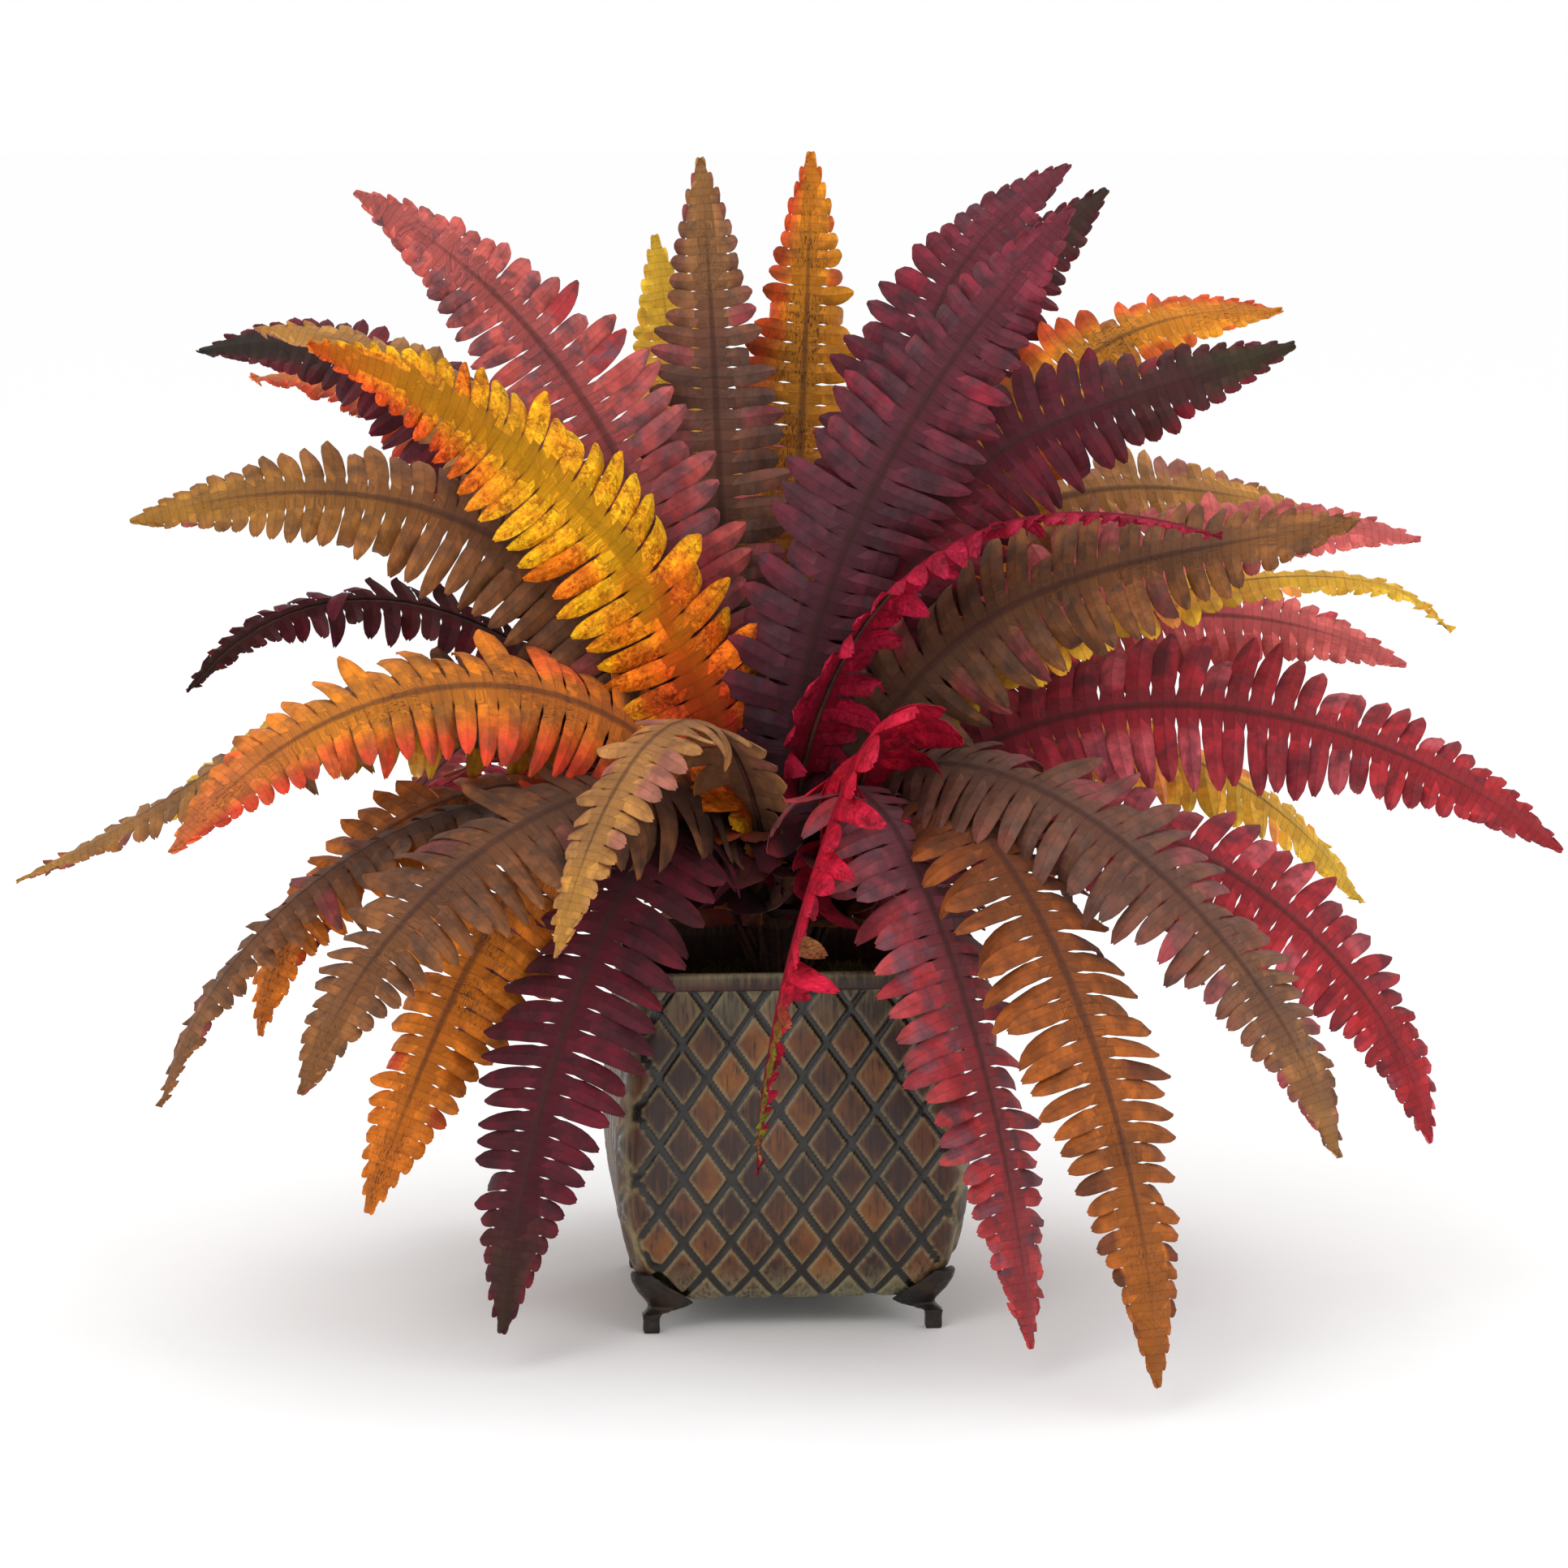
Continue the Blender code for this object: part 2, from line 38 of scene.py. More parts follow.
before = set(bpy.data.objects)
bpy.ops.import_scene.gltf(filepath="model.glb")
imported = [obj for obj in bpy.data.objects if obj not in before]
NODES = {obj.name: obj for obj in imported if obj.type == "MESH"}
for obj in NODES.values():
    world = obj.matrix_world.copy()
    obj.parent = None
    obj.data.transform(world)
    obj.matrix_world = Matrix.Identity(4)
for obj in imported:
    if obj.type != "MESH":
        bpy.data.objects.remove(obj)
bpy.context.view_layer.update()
ROLLS = {"frond_burgundy_21": 40.0, "frond_gold_46": 30.0}
FROND_NAMES = sorted(n for n in NODES if n.startswith("frond_"))
FOOT_NAMES = sorted(n for n in NODES if n.startswith("foot_"))

PATH_STEPS = 72
BARE_STATION = 4
BARE_SHARE = 0.3
LEAF_ROWS = 10
LEAF_COLUMNS = 3
WEB_ROWS = 2
WELD = 0.00004
SHARP_EDGE = math.radians(50)


def srgb(r, g, b):
    """Linear colour from display values of 0 to 255."""
    out = []
    for v in (r, g, b):
        c = v / 255.0
        out.append(c / 12.92 if c <= 0.04045 else ((c + 0.055) / 1.055) ** 2.4)
    return (out[0], out[1], out[2], 1.0)


# Dye stops from the crown to the tip, then tip dye of the leaflets, smudge dye,
# how much smudge, how much dark print, dye of the odd leaflets, how many are odd.
LOOKS = {
    "crimson": dict(dye=((0.0, (120, 8, 30)), (0.3, (196, 12, 42)), (0.8, (188, 14, 44)), (1.0, (120, 22, 34))),
                    ends=(205, 30, 62), smudge=(110, 8, 36), smudging=0.45, print=0.0,
                    odd=(150, 110, 60), odds=0.05, velvet=1.0),
    "crimson_dark": dict(dye=((0.0, (96, 8, 26)), (0.4, (176, 14, 50)), (1.0, (150, 14, 44))),
                         ends=(190, 30, 64), smudge=(90, 8, 30), smudging=0.4, print=0.0,
                         odd=(120, 10, 36), odds=0.1, velvet=1.0),
    "gold_velvet": dict(dye=((0.0, (150, 10, 30)), (0.17, (200, 22, 30)), (0.34, (232, 96, 16)), (0.48, (236, 168, 18)),
                             (0.84, (238, 160, 20)), (1.0, (238, 96, 16))),
                        ends=(246, 190, 24), smudge=(206, 88, 16), smudging=0.4, print=0.0,
                        odd=(232, 110, 20), odds=0.12, velvet=0.7, left=(232, 60, 30), left_from=0.55),
    "gold": dict(dye=((0.0, (190, 70, 16)), (0.4, (232, 150, 26)), (1.0, (240, 196, 48))),
                 ends=(246, 200, 50), smudge=(222, 120, 60), smudging=0.3, print=0.15,
                 odd=(240, 140, 70), odds=0.12),
    "rose": dict(dye=((0.0, (92, 18, 28)), (0.35, (140, 44, 48)), (0.7, (200, 86, 78)), (1.0, (214, 102, 92))),
                 ends=(208, 96, 88), smudge=(104, 68, 74), smudging=0.85, print=0.35,
                 odd=(150, 30, 40), odds=0.12),
    "rose_dusty": dict(dye=((0.0, (110, 26, 38)), (0.3, (132, 64, 74)), (0.6, (176, 50, 56)), (1.0, (196, 58, 62))),
                       ends=(192, 74, 74), smudge=(98, 68, 78), smudging=0.8, print=0.3,
                       odd=(156, 40, 48), odds=0.15),
    "rose_red": dict(dye=((0.0, (120, 14, 36)), (0.3, (158, 34, 50)), (0.75, (184, 38, 46)), (1.0, (178, 34, 40))),
                     ends=(186, 58, 66), smudge=(92, 38, 48), smudging=0.65, print=0.3,
                     odd=(196, 84, 92), odds=0.2),
    "rose_pink": dict(dye=((0.0, (140, 40, 50)), (0.4, (200, 80, 84)), (1.0, (222, 104, 98))),
                      ends=(224, 112, 104), smudge=(170, 60, 70), smudging=0.35, print=0.1,
                      odd=(190, 60, 70), odds=0.15),
    "burgundy": dict(dye=((0.0, (54, 10, 22)), (0.4, (98, 8, 30)), (0.8, (92, 10, 30)), (1.0, (56, 40, 20))),
                     ends=(104, 12, 34), smudge=(52, 16, 24), smudging=0.6, print=0.2,
                     odd=(70, 12, 26), odds=0.15),
    "burgundy_olive": dict(dye=((0.0, (50, 8, 20)), (0.4, (112, 8, 32)), (0.7, (92, 14, 34)), (0.9, (64, 44, 28)), (1.0, (60, 60, 20))),
                           ends=(112, 10, 34), smudge=(58, 20, 30), smudging=0.55, print=0.2,
                           odd=(130, 12, 36), odds=0.12),
    "burgundy_green": dict(dye=((0.0, (60, 12, 26)), (0.5, (110, 20, 40)), (0.75, (90, 22, 34)), (0.88, (48, 30, 18)), (1.0, (36, 36, 14))),
                           ends=(120, 24, 44), smudge=(56, 20, 28), smudging=0.5, print=0.2,
                           odd=(150, 40, 50), odds=0.1),
    "plum": dict(dye=((0.0, (64, 18, 34)), (0.35, (92, 34, 48)), (0.75, (124, 38, 54)), (1.0, (136, 48, 64))),
                 ends=(128, 34, 52), smudge=(66, 44, 52), smudging=0.7, print=0.15,
                 odd=(140, 30, 50), odds=0.12),
    "umber": dict(dye=((0.0, (56, 32, 20)), (0.35, (96, 58, 34)), (0.7, (138, 82, 42)), (1.0, (160, 102, 48))),
                  ends=(146, 88, 46), smudge=(78, 54, 42), smudging=0.65, print=0.5,
                  odd=(140, 52, 58), odds=0.12),
    "umber_ochre": dict(dye=((0.0, (66, 38, 24)), (0.35, (104, 64, 36)), (0.65, (146, 88, 40)), (1.0, (196, 136, 44))),
                        ends=(162, 100, 50), smudge=(84, 58, 44), smudging=0.5, print=0.4,
                        odd=(146, 56, 62), odds=0.14),
    "umber_rose": dict(dye=((0.0, (70, 40, 28)), (0.35, (112, 68, 48)), (0.7, (128, 76, 56)), (1.0, (178, 122, 62))),
                       ends=(138, 74, 62), smudge=(92, 70, 60), smudging=0.6, print=0.4,
                       odd=(156, 62, 70), odds=0.28),
    "umber_tan": dict(dye=((0.0, (110, 72, 48)), (0.35, (150, 100, 64)), (0.7, (184, 126, 64)), (1.0, (208, 146, 54))),
                      ends=(190, 132, 72), smudge=(120, 84, 62), smudging=0.4, print=0.3,
                      odd=(156, 90, 80), odds=0.2),
    "amber": dict(dye=((0.0, (150, 34, 14)), (0.3, (196, 76, 14)), (0.6, (228, 126, 18)), (1.0, (236, 124, 24))),
                  ends=(238, 128, 26), smudge=(96, 60, 26), smudging=0.4, print=1.0,
                  odd=(226, 70, 30), odds=0.12),
    "amber_scarlet": dict(dye=((0.0, (150, 14, 16)), (0.14, (196, 36, 18)), (0.3, (206, 104, 16)), (0.7, (238, 140, 20)),
                               (1.0, (236, 120, 60))),
                          ends=(240, 132, 34), smudge=(100, 74, 40), smudging=0.5, print=0.85,
                          odd=(234, 96, 40), odds=0.15, left=(226, 56, 36), left_from=0.0),
    "amber_brown": dict(dye=((0.0, (66, 34, 16)), (0.35, (134, 66, 22)), (0.7, (176, 92, 24)), (1.0, (184, 104, 30))),
                        ends=(170, 88, 26), smudge=(84, 48, 26), smudging=0.5, print=0.6,
                        odd=(96, 44, 26), odds=0.14),
    "amber_yellow": dict(dye=((0.0, (120, 60, 16)), (0.3, (206, 104, 18)), (0.65, (236, 150, 24)), (1.0, (238, 140, 22))),
                         ends=(242, 160, 30), smudge=(110, 66, 22), smudging=0.45, print=1.0,
                         odd=(222, 84, 26), odds=0.16, left=(230, 72, 30), left_from=0.45),
}
EXTRA_LOOKS = {
    "frond_rose_02": "rose_dusty", "frond_gold_03": "gold_velvet", "frond_amber_07": "amber_scarlet",
    "frond_burgundy_11": "burgundy", "frond_amber_12": "amber_brown", "frond_umber_13": "umber_rose",
    "frond_rose_14": "rose_red", "frond_rose_15": "rose_red", "frond_burgundy_16": "burgundy_olive",
    "frond_umber_17": "umber_tan", "frond_crimson_18": "crimson_dark", "frond_umber_19": "umber_ochre",
    "frond_umber_22": "umber_rose", "frond_amber_23": "amber_yellow", "frond_burgundy_25": "burgundy_green",
    "frond_umber_26": "umber_tan", "frond_amber_27": "amber_scarlet", "frond_amber_30": "amber_yellow",
    "frond_rose_32": "rose_pink", "frond_rose_33": "rose_pink", "frond_umber_08": "umber_ochre",
    "frond_umber_31": "umber_tan", "frond_rose_40": "rose_red", "frond_rose_45": "rose_dusty",
    "frond_rose_48": "rose_red", "frond_amber_39": "amber_yellow", "frond_umber_42": "umber_ochre",
}


def look_of(name):
    return EXTRA_LOOKS.get(name, name.split("_")[1])


class Graph:
    """Short calls to add nodes to a tree and join them."""

    def __init__(self, tree):
        self.tree = tree

    def node(self, kind, *values, **settings):
        made = self.tree.nodes.new(kind)
        for key, value in settings.items():
            setattr(made, key, value)
        for socket, value in zip(made.inputs, values):
            self.feed(socket, value)
        return made

    def feed(self, socket, value):
        if value is None:
            return
        if isinstance(value, bpy.types.NodeSocket):
            self.tree.links.new(value, socket)
        else:
            socket.default_value = value

    def math(self, operation, a, b=None, c=None, clamp=False):
        return self.node("ShaderNodeMath", a, b, c, operation=operation, use_clamp=clamp).outputs[0]

    def add(self, a, b):
        return self.math("ADD", a, b)

    def sub(self, a, b):
        return self.math("SUBTRACT", a, b)

    def mul(self, a, b):
        return self.math("MULTIPLY", a, b)

    def vector(self, x, y, z=0.0):
        return self.node("ShaderNodeCombineXYZ", x, y, z).outputs[0]

    def vmath(self, operation, a, b=None):
        return self.node("ShaderNodeVectorMath", a, b, operation=operation).outputs[0]

    def scaled(self, a, factor):
        made = self.node("ShaderNodeVectorMath", a, operation="SCALE")
        self.feed(made.inputs["Scale"], factor)
        return made.outputs[0]

    def ramp(self, value, low, high, to_low=0.0, to_high=1.0, smooth=True):
        made = self.node("ShaderNodeMapRange", value, low, high, to_low, to_high, clamp=True)
        made.interpolation_type = "SMOOTHSTEP" if smooth else "LINEAR"
        return made.outputs[0]

    def mix(self, factor, a, b, blend="MIX"):
        made = self.node("ShaderNodeMix", factor, data_type="RGBA", blend_type=blend)
        self.feed(made.inputs[6], a)
        self.feed(made.inputs[7], b)
        return made.outputs[2]

    def noise(self, vector, scale, detail=3.0, rough=0.55, distortion=0.0):
        made = self.node("ShaderNodeTexNoise", vector)
        for key, value in (("Scale", scale), ("Detail", detail), ("Roughness", rough), ("Distortion", distortion)):
            self.feed(made.inputs[key], value)
        return made.outputs[0]

    def colors(self, value, stops):
        made = self.node("ShaderNodeValToRGB", value)
        marks = made.color_ramp.elements
        while len(marks) < len(stops):
            marks.new(0.5)
        for mark, (at, color) in zip(marks, stops):
            mark.position = at
            mark.color = srgb(*color)
        return made.outputs[0]


class Surface(Graph):
    """A material's tree with its main shader ready."""

    def __init__(self, name):
        self.material = bpy.data.materials.new(name)
        self.material.use_nodes = True
        super().__init__(self.material.node_tree)
        self.shader = self.tree.nodes["Principled BSDF"]

    def attribute(self, name):
        return self.node("ShaderNodeAttribute", attribute_name=name)

    def value(self, name):
        return self.attribute(name).outputs["Fac"]

    def place(self):
        return self.node("ShaderNodeTexCoord").outputs["Object"]

    def bump(self, height, distance, strength=1.0):
        made = self.node("ShaderNodeBump")
        self.feed(made.inputs["Strength"], strength)
        self.feed(made.inputs["Distance"], distance)
        self.feed(made.inputs["Height"], height)
        self.feed(self.shader.inputs["Normal"], made.outputs[0])

    def finish(self, color, roughness, **sockets):
        self.feed(self.shader.inputs["Base Color"], color)
        self.feed(self.shader.inputs["Roughness"], roughness)
        for name, value in sockets.items():
            self.feed(self.shader.inputs[name.replace("_", " ")], value)
        return self.material


def cloth_material(name, seed):
    """Printed cloth, or velvet, of one frond; it reads the blade's own attributes."""
    look = LOOKS[look_of(name)]
    s = Surface("cloth_" + name[6:])
    along = s.value("along")
    across = s.value("across")
    leaf = s.value("leaf")
    tone = s.value("tone")
    crease = s.value("crease")
    flat = s.attribute("flat").outputs["Vector"]
    spot = s.vmath("ADD", flat, (seed * 1.7, seed * 0.9, seed * 0.37))
    own = s.vmath("ADD", spot, s.vector(s.mul(tone, 3.0), 0.0, 0.0))
    side = s.math("ABSOLUTE", across)

    drift = s.noise(spot, 26.0, 3.0)
    shifted = s.add(along, s.mul(s.sub(drift, 0.5), 0.34))
    color = s.colors(shifted, look["dye"])
    ends = s.mul(s.ramp(side, 0.45, 1.0), s.ramp(s.noise(own, 60.0, 2.0), 0.3, 0.6, 0.25, 0.85))
    color = s.mix(ends, color, srgb(*look["ends"]))
    if "left" in look:
        reach = s.mul(s.ramp(across, -0.25, -0.85), s.ramp(shifted, look["left_from"], look["left_from"] + 0.2))
        color = s.mix(s.mul(reach, 0.9), color, srgb(*look["left"]))
    odd = s.mul(s.math("GREATER_THAN", tone, 1.0 - look["odds"]), s.ramp(leaf, 0.05, 0.4, 0.0, 0.85))
    color = s.mix(odd, color, srgb(*look["odd"]))
    cloud = s.ramp(s.noise(own, 75.0, 3.0, 0.6, 0.4), 0.42, 0.64)
    color = s.mix(s.mul(cloud, look["smudging"]), color, srgb(*look["smudge"]))
    haze = s.ramp(s.noise(spot, 17.0, 2.0, 0.5, 0.3), 0.5, 0.66)
    color = s.mix(s.mul(haze, look["smudging"] * 0.55), color, srgb(*look["smudge"]))
    if name == "frond_crimson_01":
        patch = s.mul(s.ramp(along, 0.74, 0.82), s.ramp(along, 0.99, 0.93))
        patch = s.mul(patch, s.ramp(s.add(across, s.mul(s.sub(drift, 0.5), 0.6)), -0.15, -0.5))
        color = s.mix(patch, color, srgb(112, 106, 24))

    streaks = s.noise(s.vmath("MULTIPLY", own, (5200.0, 700.0, 60.0)), 1.0, 2.0)
    velvet = look.get("velvet", 0.0)
    if velvet:
        pile_and_sheen = s.noise(s.vmath("MULTIPLY", own, (620.0, 620.0, 60.0)), 1.0, 4.0, 0.75)
        swirl_and_shade = s.noise(own, 130.0, 3.0, 0.6, 1.2)
        # Painted sheen: a lighter, pinker copy of the dye where the pile speckle is high. Painted shade: a darker copy
        # where the pile and swirl noise are low. The same noise also gives the pile its bump.
        color = s.mix(s.ramp(pile_and_sheen, 0.48, 0.68, 0.0, 0.8), color, s.mix(1.0, color, (1.5, 2.0, 1.9, 1.0), "MULTIPLY"))
        color = s.mix(s.ramp(s.add(s.mul(pile_and_sheen, 0.5), s.mul(swirl_and_shade, 0.5)), 0.52, 0.38, 0.0, 0.85), color,
                      s.mix(1.0, color, (0.42, 0.26, 0.34, 1.0), "MULTIPLY"))
        s.bump(s.add(pile_and_sheen, s.mul(swirl_and_shade, 2.0)), 0.0006, 0.8)
    else:
        thread = s.ramp(streaks, 0.3, 0.7, 0.86, 1.1, smooth=False)
        color = s.mix(1.0, color, s.node("ShaderNodeCombineColor", thread, thread, thread).outputs[0], "MULTIPLY")
        marks = s.noise(s.vmath("MULTIPLY", spot, (1500.0, 380.0, 30.0)), 1.0, 3.0, 0.65, 0.8)
        lumps = s.ramp(s.noise(spot, 34.0, 2.0), 0.42, 0.6)
        near = s.ramp(side, 0.8, 0.1)
        inked = s.mul(s.mul(s.ramp(marks, 0.53, 0.6), lumps), s.add(s.mul(near, 0.85), 0.15))
        color = s.mix(s.mul(inked, look["print"] * 0.85), color, srgb(44, 22, 12))
        s.bump(s.add(streaks, s.mul(s.noise(own, 240.0, 2.0), 2.2)), 0.0005, 0.55)
    # Painted shade: darker along each leaflet's crease line and along its edges by the slits between leaflets.
    fold = s.ramp(crease, 0.0, 0.16, 0.8, 1.0)
    edge_shade = s.ramp(crease, 0.8, 1.0, 1.0, 0.82)
    # Painted shade: every blade darker towards the crown, inside the plant. The leaflet tone and the noise that follow
    # are the cloth's own uneven dye.
    shade_and_tone = s.mul(s.mul(fold, edge_shade), s.ramp(along, 0.0, 0.3, 0.62, 1.0))
    shade_and_tone = s.mul(shade_and_tone, s.ramp(tone, 0.0, 1.0, 0.84, 1.12, smooth=False))
    shade_and_tone = s.mul(shade_and_tone, s.ramp(s.noise(own, 120.0, 3.0, 0.6), 0.32, 0.68, 0.68, 1.2))
    color = s.mix(1.0, color, s.node("ShaderNodeCombineColor", shade_and_tone, shade_and_tone, shade_and_tone).outputs[0], "MULTIPLY")
    rib = s.mul(s.ramp(side, 0.075, 0.02), s.ramp(along, 1.0, 0.75))
    color = s.mix(s.mul(rib, 0.0 if velvet else 0.6), color, srgb(58, 26, 20))
    rough = s.ramp(streaks, 0.2, 0.8, 0.55, 0.8)
    if velvet:
        return s.finish(color, rough, Sheen_Weight=0.35 * velvet, Sheen_Roughness=0.4,
                        Sheen_Tint=srgb(*look["ends"]), Specular_IOR_Level=0.15)
    return s.finish(color, rough, Specular_IOR_Level=0.28, Sheen_Weight=0.04, Sheen_Roughness=0.5)


def stem_material():
    s = Surface("wrapped_stem")
    place = s.place()
    bands = s.noise(s.vmath("MULTIPLY", place, (400.0, 400.0, 900.0)), 1.0, 3.0)
    tone = s.noise(place, 60.0, 3.0)
    color = s.mix(s.ramp(tone, 0.35, 0.65), srgb(46, 26, 18), srgb(84, 44, 28))
    color = s.mix(s.ramp(bands, 0.5, 0.7, 0.0, 0.5), color, srgb(28, 18, 14))
    s.bump(bands, 0.0004, 0.6)
    return s.finish(color, s.ramp(bands, 0.3, 0.7, 0.5, 0.75))


def metal_material():
    """Brushed brown paint with dark grooves and a pale rubbed patina."""
    s = Surface("rubbed_brown_metal")
    place = s.place()
    groove = s.value("groove")
    rub = s.value("rub")
    cell = s.value("cell")
    low = s.value("low")
    streaks = s.noise(s.vmath("MULTIPLY", place, (620.0, 620.0, 55.0)), 1.0, 4.0, 0.6)
    cloud = s.noise(place, 34.0, 3.0, 0.6)
    fine = s.noise(place, 420.0, 4.0, 0.7)
    mood = s.add(s.mul(cell, 0.32), s.mul(cloud, 0.86))
    color = s.colors(mood, ((0.3, (30, 16, 11)), (0.52, (54, 27, 14)), (0.7, (92, 48, 17)), (0.9, (140, 84, 22))))
    color = s.mix(s.ramp(streaks, 0.5, 0.75, 0.0, 0.7), color, srgb(112, 64, 22))
    color = s.mix(s.ramp(streaks, 0.5, 0.3, 0.0, 0.85), color, srgb(26, 15, 11))
    center = s.ramp(rub, 0.55, 0.0)
    color = s.mix(s.mul(center, s.ramp(cell, 0.2, 0.8, 0.6, 0.0)), color, srgb(46, 22, 15))
    edge = s.mul(s.ramp(rub, 0.5, 0.98), s.ramp(s.add(fine, s.mul(cloud, 0.5)), 0.5, 0.9, 0.15, 0.8))
    color = s.mix(edge, color, srgb(140, 122, 82))
    chalk = s.mul(low, s.ramp(s.add(streaks, s.mul(cloud, 0.6)), 0.55, 0.95))
    color = s.mix(s.mul(chalk, 0.75), color, srgb(138, 136, 102))
    color = s.mix(s.ramp(groove, 0.2, 0.6, 0.0, 0.97), color, srgb(15, 11, 9))
    s.bump(s.add(s.mul(streaks, 0.6), s.mul(fine, 0.5)), 0.0006, 0.5)
    rough = s.add(s.ramp(groove, 0.3, 0.8, 0.5, 0.24), s.mul(s.sub(fine, 0.5), 0.25))
    return s.finish(color, rough, Specular_IOR_Level=0.45, Coat_Weight=0.12, Coat_Roughness=0.3)


def iron_material():
    s = Surface("dark_cast_iron")
    place = s.place()
    grit = s.noise(place, 520.0, 4.0, 0.7)
    cloud = s.noise(place, 90.0, 3.0)
    color = s.mix(s.ramp(cloud, 0.4, 0.65), srgb(26, 21, 18), srgb(52, 36, 26))
    color = s.mix(s.mul(s.ramp(grit, 0.62, 0.74), 0.5), color, srgb(112, 98, 82))
    pits = s.add(s.mul(grit, 0.6), cloud)
    s.bump(pits, 0.0014, 0.7)
    return s.finish(color, s.ramp(grit, 0.3, 0.7, 0.3, 0.55), Metallic=0.35)


def moss_material():
    s = Surface("dry_moss")
    place = s.place()
    fibre = s.noise(s.vmath("MULTIPLY", place, (300.0, 300.0, 300.0)), 1.0, 5.0, 0.7, 1.0)
    cloud = s.noise(place, 50.0, 3.0)
    color = s.colors(s.add(s.mul(fibre, 0.6), s.mul(cloud, 0.4)),
                     ((0.3, (40, 34, 18)), (0.5, (84, 76, 38)), (0.7, (126, 112, 62))))
    s.bump(fibre, 0.002, 0.9)
    return s.finish(color, s.ramp(fibre, 0.3, 0.7, 0.8, 0.95), Specular_IOR_Level=0.1)


def foam_material():
    s = Surface("floral_foam")
    place = s.place()
    cells = s.node("ShaderNodeTexVoronoi", place)
    s.feed(cells.inputs["Scale"], 900.0)
    pores = cells.outputs["Distance"]
    cloud = s.noise(place, 40.0, 3.0)
    color = s.mix(s.ramp(cloud, 0.3, 0.7), srgb(70, 62, 42), srgb(98, 88, 60))
    color = s.mix(s.ramp(pores, 0.3, 0.7, 0.0, 0.4), color, srgb(40, 34, 24))
    s.bump(pores, 0.001, 0.7)
    return s.finish(color, s.ramp(cloud, 0.3, 0.7, 0.85, 0.95), Specular_IOR_Level=0.1)


def floor_material():
    s = Surface("pale_floor")
    grain = s.noise(s.place(), 40.0, 2.0)
    color = s.mix(grain, srgb(253, 253, 253), srgb(255, 255, 255))
    return s.finish(color, s.ramp(grain, 0.3, 0.7, 0.75, 0.85), Specular_IOR_Level=0.1)


def new_tree(name, sockets):
    """An empty geometry tree with a Geometry input and output and named inputs."""
    tree = bpy.data.node_groups.new(name, "GeometryNodeTree")
    face = tree.interface
    face.new_socket("Geometry", in_out="INPUT", socket_type="NodeSocketGeometry")
    for label, kind in sockets:
        face.new_socket(label, in_out="INPUT", socket_type="NodeSocket" + kind)
    face.new_socket("Geometry", in_out="OUTPUT", socket_type="NodeSocketGeometry")
    g = Graph(tree)
    g.given = tree.nodes.new("NodeGroupInput").outputs
    g.out = tree.nodes.new("NodeGroupOutput")
    return g


def store(g, geometry, name, value, kind="FLOAT", domain="POINT"):
    made = g.node("GeometryNodeStoreNamedAttribute", geometry, data_type=kind, domain=domain)
    g.feed(made.inputs["Name"], name)
    g.feed(made.inputs["Value"], value)
    return made.outputs[0]


def read(g, name, kind="FLOAT"):
    return g.node("GeometryNodeInputNamedAttribute", name, data_type=kind).outputs[0]


def joined(g, *parts):
    made = g.tree.nodes.new("GeometryNodeJoinGeometry")
    for part in parts:
        g.tree.links.new(part, made.inputs[0])
    return made.outputs[0]


def random_value(g, low, high, key, seed):
    made = g.node("FunctionNodeRandomValue", data_type="FLOAT")
    g.feed(made.inputs[2], low)
    g.feed(made.inputs[3], high)
    g.feed(made.inputs["ID"], key)
    g.feed(made.inputs["Seed"], seed)
    return made.outputs[1]


def on_path(g, path, factor, name=None):
    """A value of the midrib path at a part of its length: its place, tangent or an attribute."""
    made = g.node("GeometryNodeSampleCurve", path, mode="FACTOR", data_type="FLOAT_VECTOR")
    if name:
        g.feed(made.inputs["Value"], read(g, name, "FLOAT_VECTOR"))
    g.feed(made.inputs["Factor"], factor)
    return made.outputs


